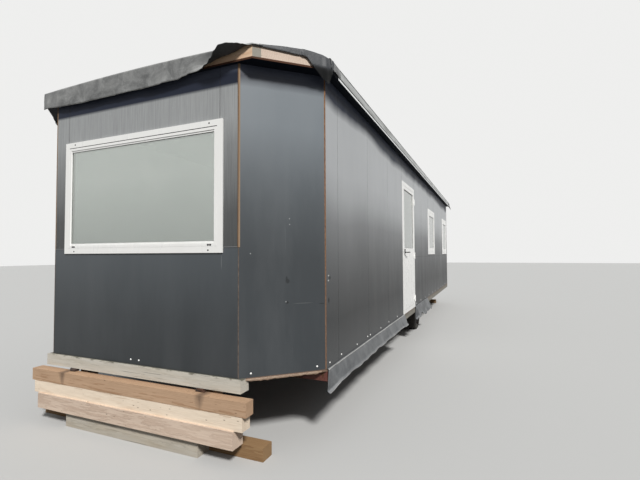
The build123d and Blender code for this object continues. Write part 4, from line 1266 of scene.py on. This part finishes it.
# Its drain slots, in pairs
DRAIN_IN = 0.119
DRAIN_UP = 0.061
DRAIN_APART = 0.0105
DRAIN_HALF = 0.0085
DRAIN_WIDTH = 0.012
DRAIN_RISE = 0.0022
DRAIN_SUNK = 0.001

# The handles inside the side windows
HANDLE_POST = ((0.016, 0), (0.016, 0.006), (0.011, 0.009), (0.009, 0.040))
HANDLE_POST_IN = 0.035
HANDLE_IN = 0.068
HANDLE_BESIDE = 0.030
HANDLE_UP = 0.010
HANDLE_DOWN = 0.115
HANDLE_WIDTH = 0.020
HANDLE_THICK = 0.012


def window_fittings(dark):
    """Drain slots and screw heads in the front frame, and the handles inside the side windows."""
    low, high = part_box("window_front_frame")
    parts = []
    for side in (1, -1):
        middle = side * (high.x - DRAIN_IN)
        y, z = low.y + DRAIN_SUNK, low.z + DRAIN_UP
        # Each drain slot is a dark bar on the frame: painted shade for the slot's opening
        for x in (middle - DRAIN_APART, middle + DRAIN_APART):
            ends = ((x - DRAIN_HALF, y, z), (x + DRAIN_HALF, y, z))
            parts.append(bar(*ends, DRAIN_WIDTH, DRAIN_RISE, FRONTWARDS))
        for x, z in ((HEAD_FOOT[0], low.z + HEAD_FOOT[1]), (HEAD_TOP[0], high.z - HEAD_TOP[1])):
            parts.append(turned((side * (high.x - x), low.y, z), FRONTWARDS, HEAD))
    fit("front_window_drains", parts, dark)

    parts = []
    for low, high in panes(front=False):
        side, _, inner = outer_side(low, high)
        x, y, z = inner - side * HANDLE_IN, high.y + HANDLE_BESIDE, (low.z + high.z) / 2
        ends = ((x, y, z + HANDLE_UP), (x, y, z - HANDLE_DOWN))
        inwards = (-side, 0, 0)
        parts.append(turned((inner - side * HANDLE_POST_IN, y, z), inwards, HANDLE_POST))
        parts.append(bar(*ends, HANDLE_WIDTH, HANDLE_THICK, inwards, chamfer=0.3))
    fit("side_window_handles", parts, dark)


# The door's lock and keyhole
LOCK = ((0.009, 0), (0.009, 0.005), (0.0075, 0.007))
LOCK_ABOVE = 0.020
KEYHOLE_WIDTH = 0.0016
KEYHOLE_HALF = 0.004
KEYHOLE_RISE = 0.0004


def door_fittings(dark, metal):
    """The lock under the lever, with its keyhole."""
    low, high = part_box("door_handle_plates")
    y, z = (low.y + high.y) / 2, low.z + LOCK_ABOVE
    lock = turned((high.x, y, z), (1, 0, 0), LOCK)
    fit("door_lock", [lock], metal, "door", shade_smooth=True)
    # The keyhole is a dark bar on the lock's face: painted shade for the hole
    x = high.x + LOCK[-1][1]
    ends = ((x, y, z - KEYHOLE_HALF), (x, y, z + KEYHOLE_HALF))
    key = bar(*ends, KEYHOLE_WIDTH, KEYHOLE_RISE, (1, 0, 0))
    fit("door_keyhole", [key], dark, "door")


# The beads along the roof-edge strips
BEAD_STEPS = 60
BEAD_START = 0.17
BEAD_RADIUS = 0.0045
BEAD_WAVE = 0.0012
BEAD_IN = 0.002
BEAD_SUNK = 0.001


def eave_beads(material):
    """The rolled edge of the membrane along the top of each roof-edge strip."""
    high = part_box("eave_trims")[1]
    for side, word in SIDES:
        line = []
        for index in range(BEAD_STEPS + 1):
            y = TURN.y + BEAD_START + (high.y - TURN.y - BEAD_START) * index / BEAD_STEPS
            wave = BEAD_WAVE * drift(y * 3, side, 0)
            line.append(Vector((side * (high.x - BEAD_IN + wave), y, high.z - BEAD_SUNK + wave)))
        hem_piece("eave_bead_" + word, line, material, BEAD_RADIUS)


# The wheel nuts
NUT = ((0.012, 0), (0.012, 0.012), (0.008, 0.016))
NUT_COUNT = 5
NUT_CIRCLE = 0.082
NUT_SIDES = 6
RIM_DISH = 0.042


def wheel_nuts(material):
    """Nuts round each hub, at the bottom of the rim's dish."""
    parts = []
    for low, high in boxes_of("wheel_rims"):
        side, outer, _ = outer_side(low, high)
        y, z = (low.y + high.y) / 2, (low.z + high.z) / 2
        for index in range(NUT_COUNT):
            angle = 2 * math.pi * (index + 0.25) / NUT_COUNT
            along, above = NUT_CIRCLE * math.cos(angle), NUT_CIRCLE * math.sin(angle)
            spot = (outer - side * RIM_DISH, y + along, z + above)
            parts.append(turned(spot, (side, 0, 0), NUT, NUT_SIDES))
    fit("wheel_nuts", parts, material)


# The torn edge of the deck
TORN_SEED = 5
TORN_STEPS = 46
TORN_START = 0.045
TORN_LENGTH = 0.60
TORN_FALL = 0.004
TORN_WAVE = 0.012
TORN_OUT = 0.003


def splintered_edge(material):
    """The torn lower edge of the deck under each canted wall."""
    parts = []
    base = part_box("floor_deck")[0].z
    for side in (1, -1):
        ridge, points = random.Random(TORN_SEED + side), []
        for index in range(TORN_STEPS + 1):
            along = TORN_START + TORN_LENGTH * index / TORN_STEPS
            spot = Vector((CORNER_X, FRONT, 0)) + CANT_ALONG * along
            fall = TORN_FALL + TORN_WAVE * abs(drift(along * 16, side, 1)) + TORN_FALL * ridge.random()
            fall *= smooth(index / 4) * smooth((TORN_STEPS - index) / 3)
            out = TORN_OUT + TORN_OUT * ridge.random()
            outline = ((0.012, 0.0004), (0.0, out), (-fall, out * 0.6), (-fall, -0.004), (0.001, -0.006))
            for depth, stand in outline:
                where = spot + CANT_NORMAL * stand
                points.append(Vector((side * where.x, where.y, base + depth)))
        parts.append((points, skin(TORN_STEPS + 1, len(outline))))
    fit("splintered_edges", parts, material)


# The scraps of packing: their size, and the foot, middle and top of them above the beam
SCRAP = (0.078, 0.050, 0.030)
SCRAP_RISE = (0.0002, 0.0125, 0.0255)
SCRAP_OUT = 0.012
SCRAP_BLUNT = 0.6


def packer_lumps(material):
    """Rusty scraps of packing that stick out over the top beam."""
    foot, middle, top = (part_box("crib_beams_top")[1].z + rise for rise in SCRAP_RISE)
    parts = []
    for low, high in boxes_of("crib_packers"):
        end, outer = (1, high.y) if low.y > 0 else (-1, low.y)
        centre = Vector(((low.x + high.x) / 2, outer - end * SCRAP_OUT, middle))
        source = bmesh.new()
        bmesh.ops.create_icosphere(source, subdivisions=3, radius=0.5)
        points = []
        for vertex in source.verts:
            rough = 1 + 0.45 * noise.noise(vertex.co * 3.1 + Vector((low.x * 3, low.y, 0)))
            rough += 0.20 * noise.noise(vertex.co * 8.3 + Vector((low.x, low.y * 2, 4)))
            squared = Vector(math.copysign(abs(c * 2) ** SCRAP_BLUNT / 2, c) for c in vertex.co)
            point = centre + Vector(c * part * rough for c, part in zip(squared, SCRAP))
            point.z = min(max(point.z, foot), top)
            points.append(point)
        parts.append((points, [tuple(vertex.index for vertex in face.verts) for face in source.faces]))
        source.free()
    fit("packer_scraps", parts, material, shade_smooth=True)


def fittings():
    white, black, metal, wheel, packer = (
        nodes[name].data.materials[0]
        for name in ("door_frame", "lever_handle", "eave_trims", "wheel_rims", "crib_packers")
    )
    seal = two_toned("seal_rubber", 0.7, (60,), 0.4, 0.8,
                     ((0.012, 0.012, 0.013), (0.07, 0.07, 0.066)), shine=0.2)
    raw = two_toned("sheet_edge", 0.75, ((200, 200, 30), 3), 0.35, 0.65,
                    ((0.165, 0.132, 0.110), (0.075, 0.056, 0.046)), shine=0.2)
    screw_caps(white)
    glazing_seals(seal, white)
    groove_shade_and_beads(seal, white)
    corner_edges(raw)
    window_fittings(black)
    door_fittings(black, metal)
    eave_beads(seal)
    wheel_nuts(wheel)
    splintered_edge(plywood("torn_plywood", DECK_PLY, (0.42, 0.31, 0.22), (0.10, 0.055, 0.035)))
    packer_lumps(packer)


bpy.context.scene.view_settings.view_transform = "Standard"
make_camera()
make_world()
make_sun()
make_floor()
dress_frame()
rubber_pieces()
fittings()
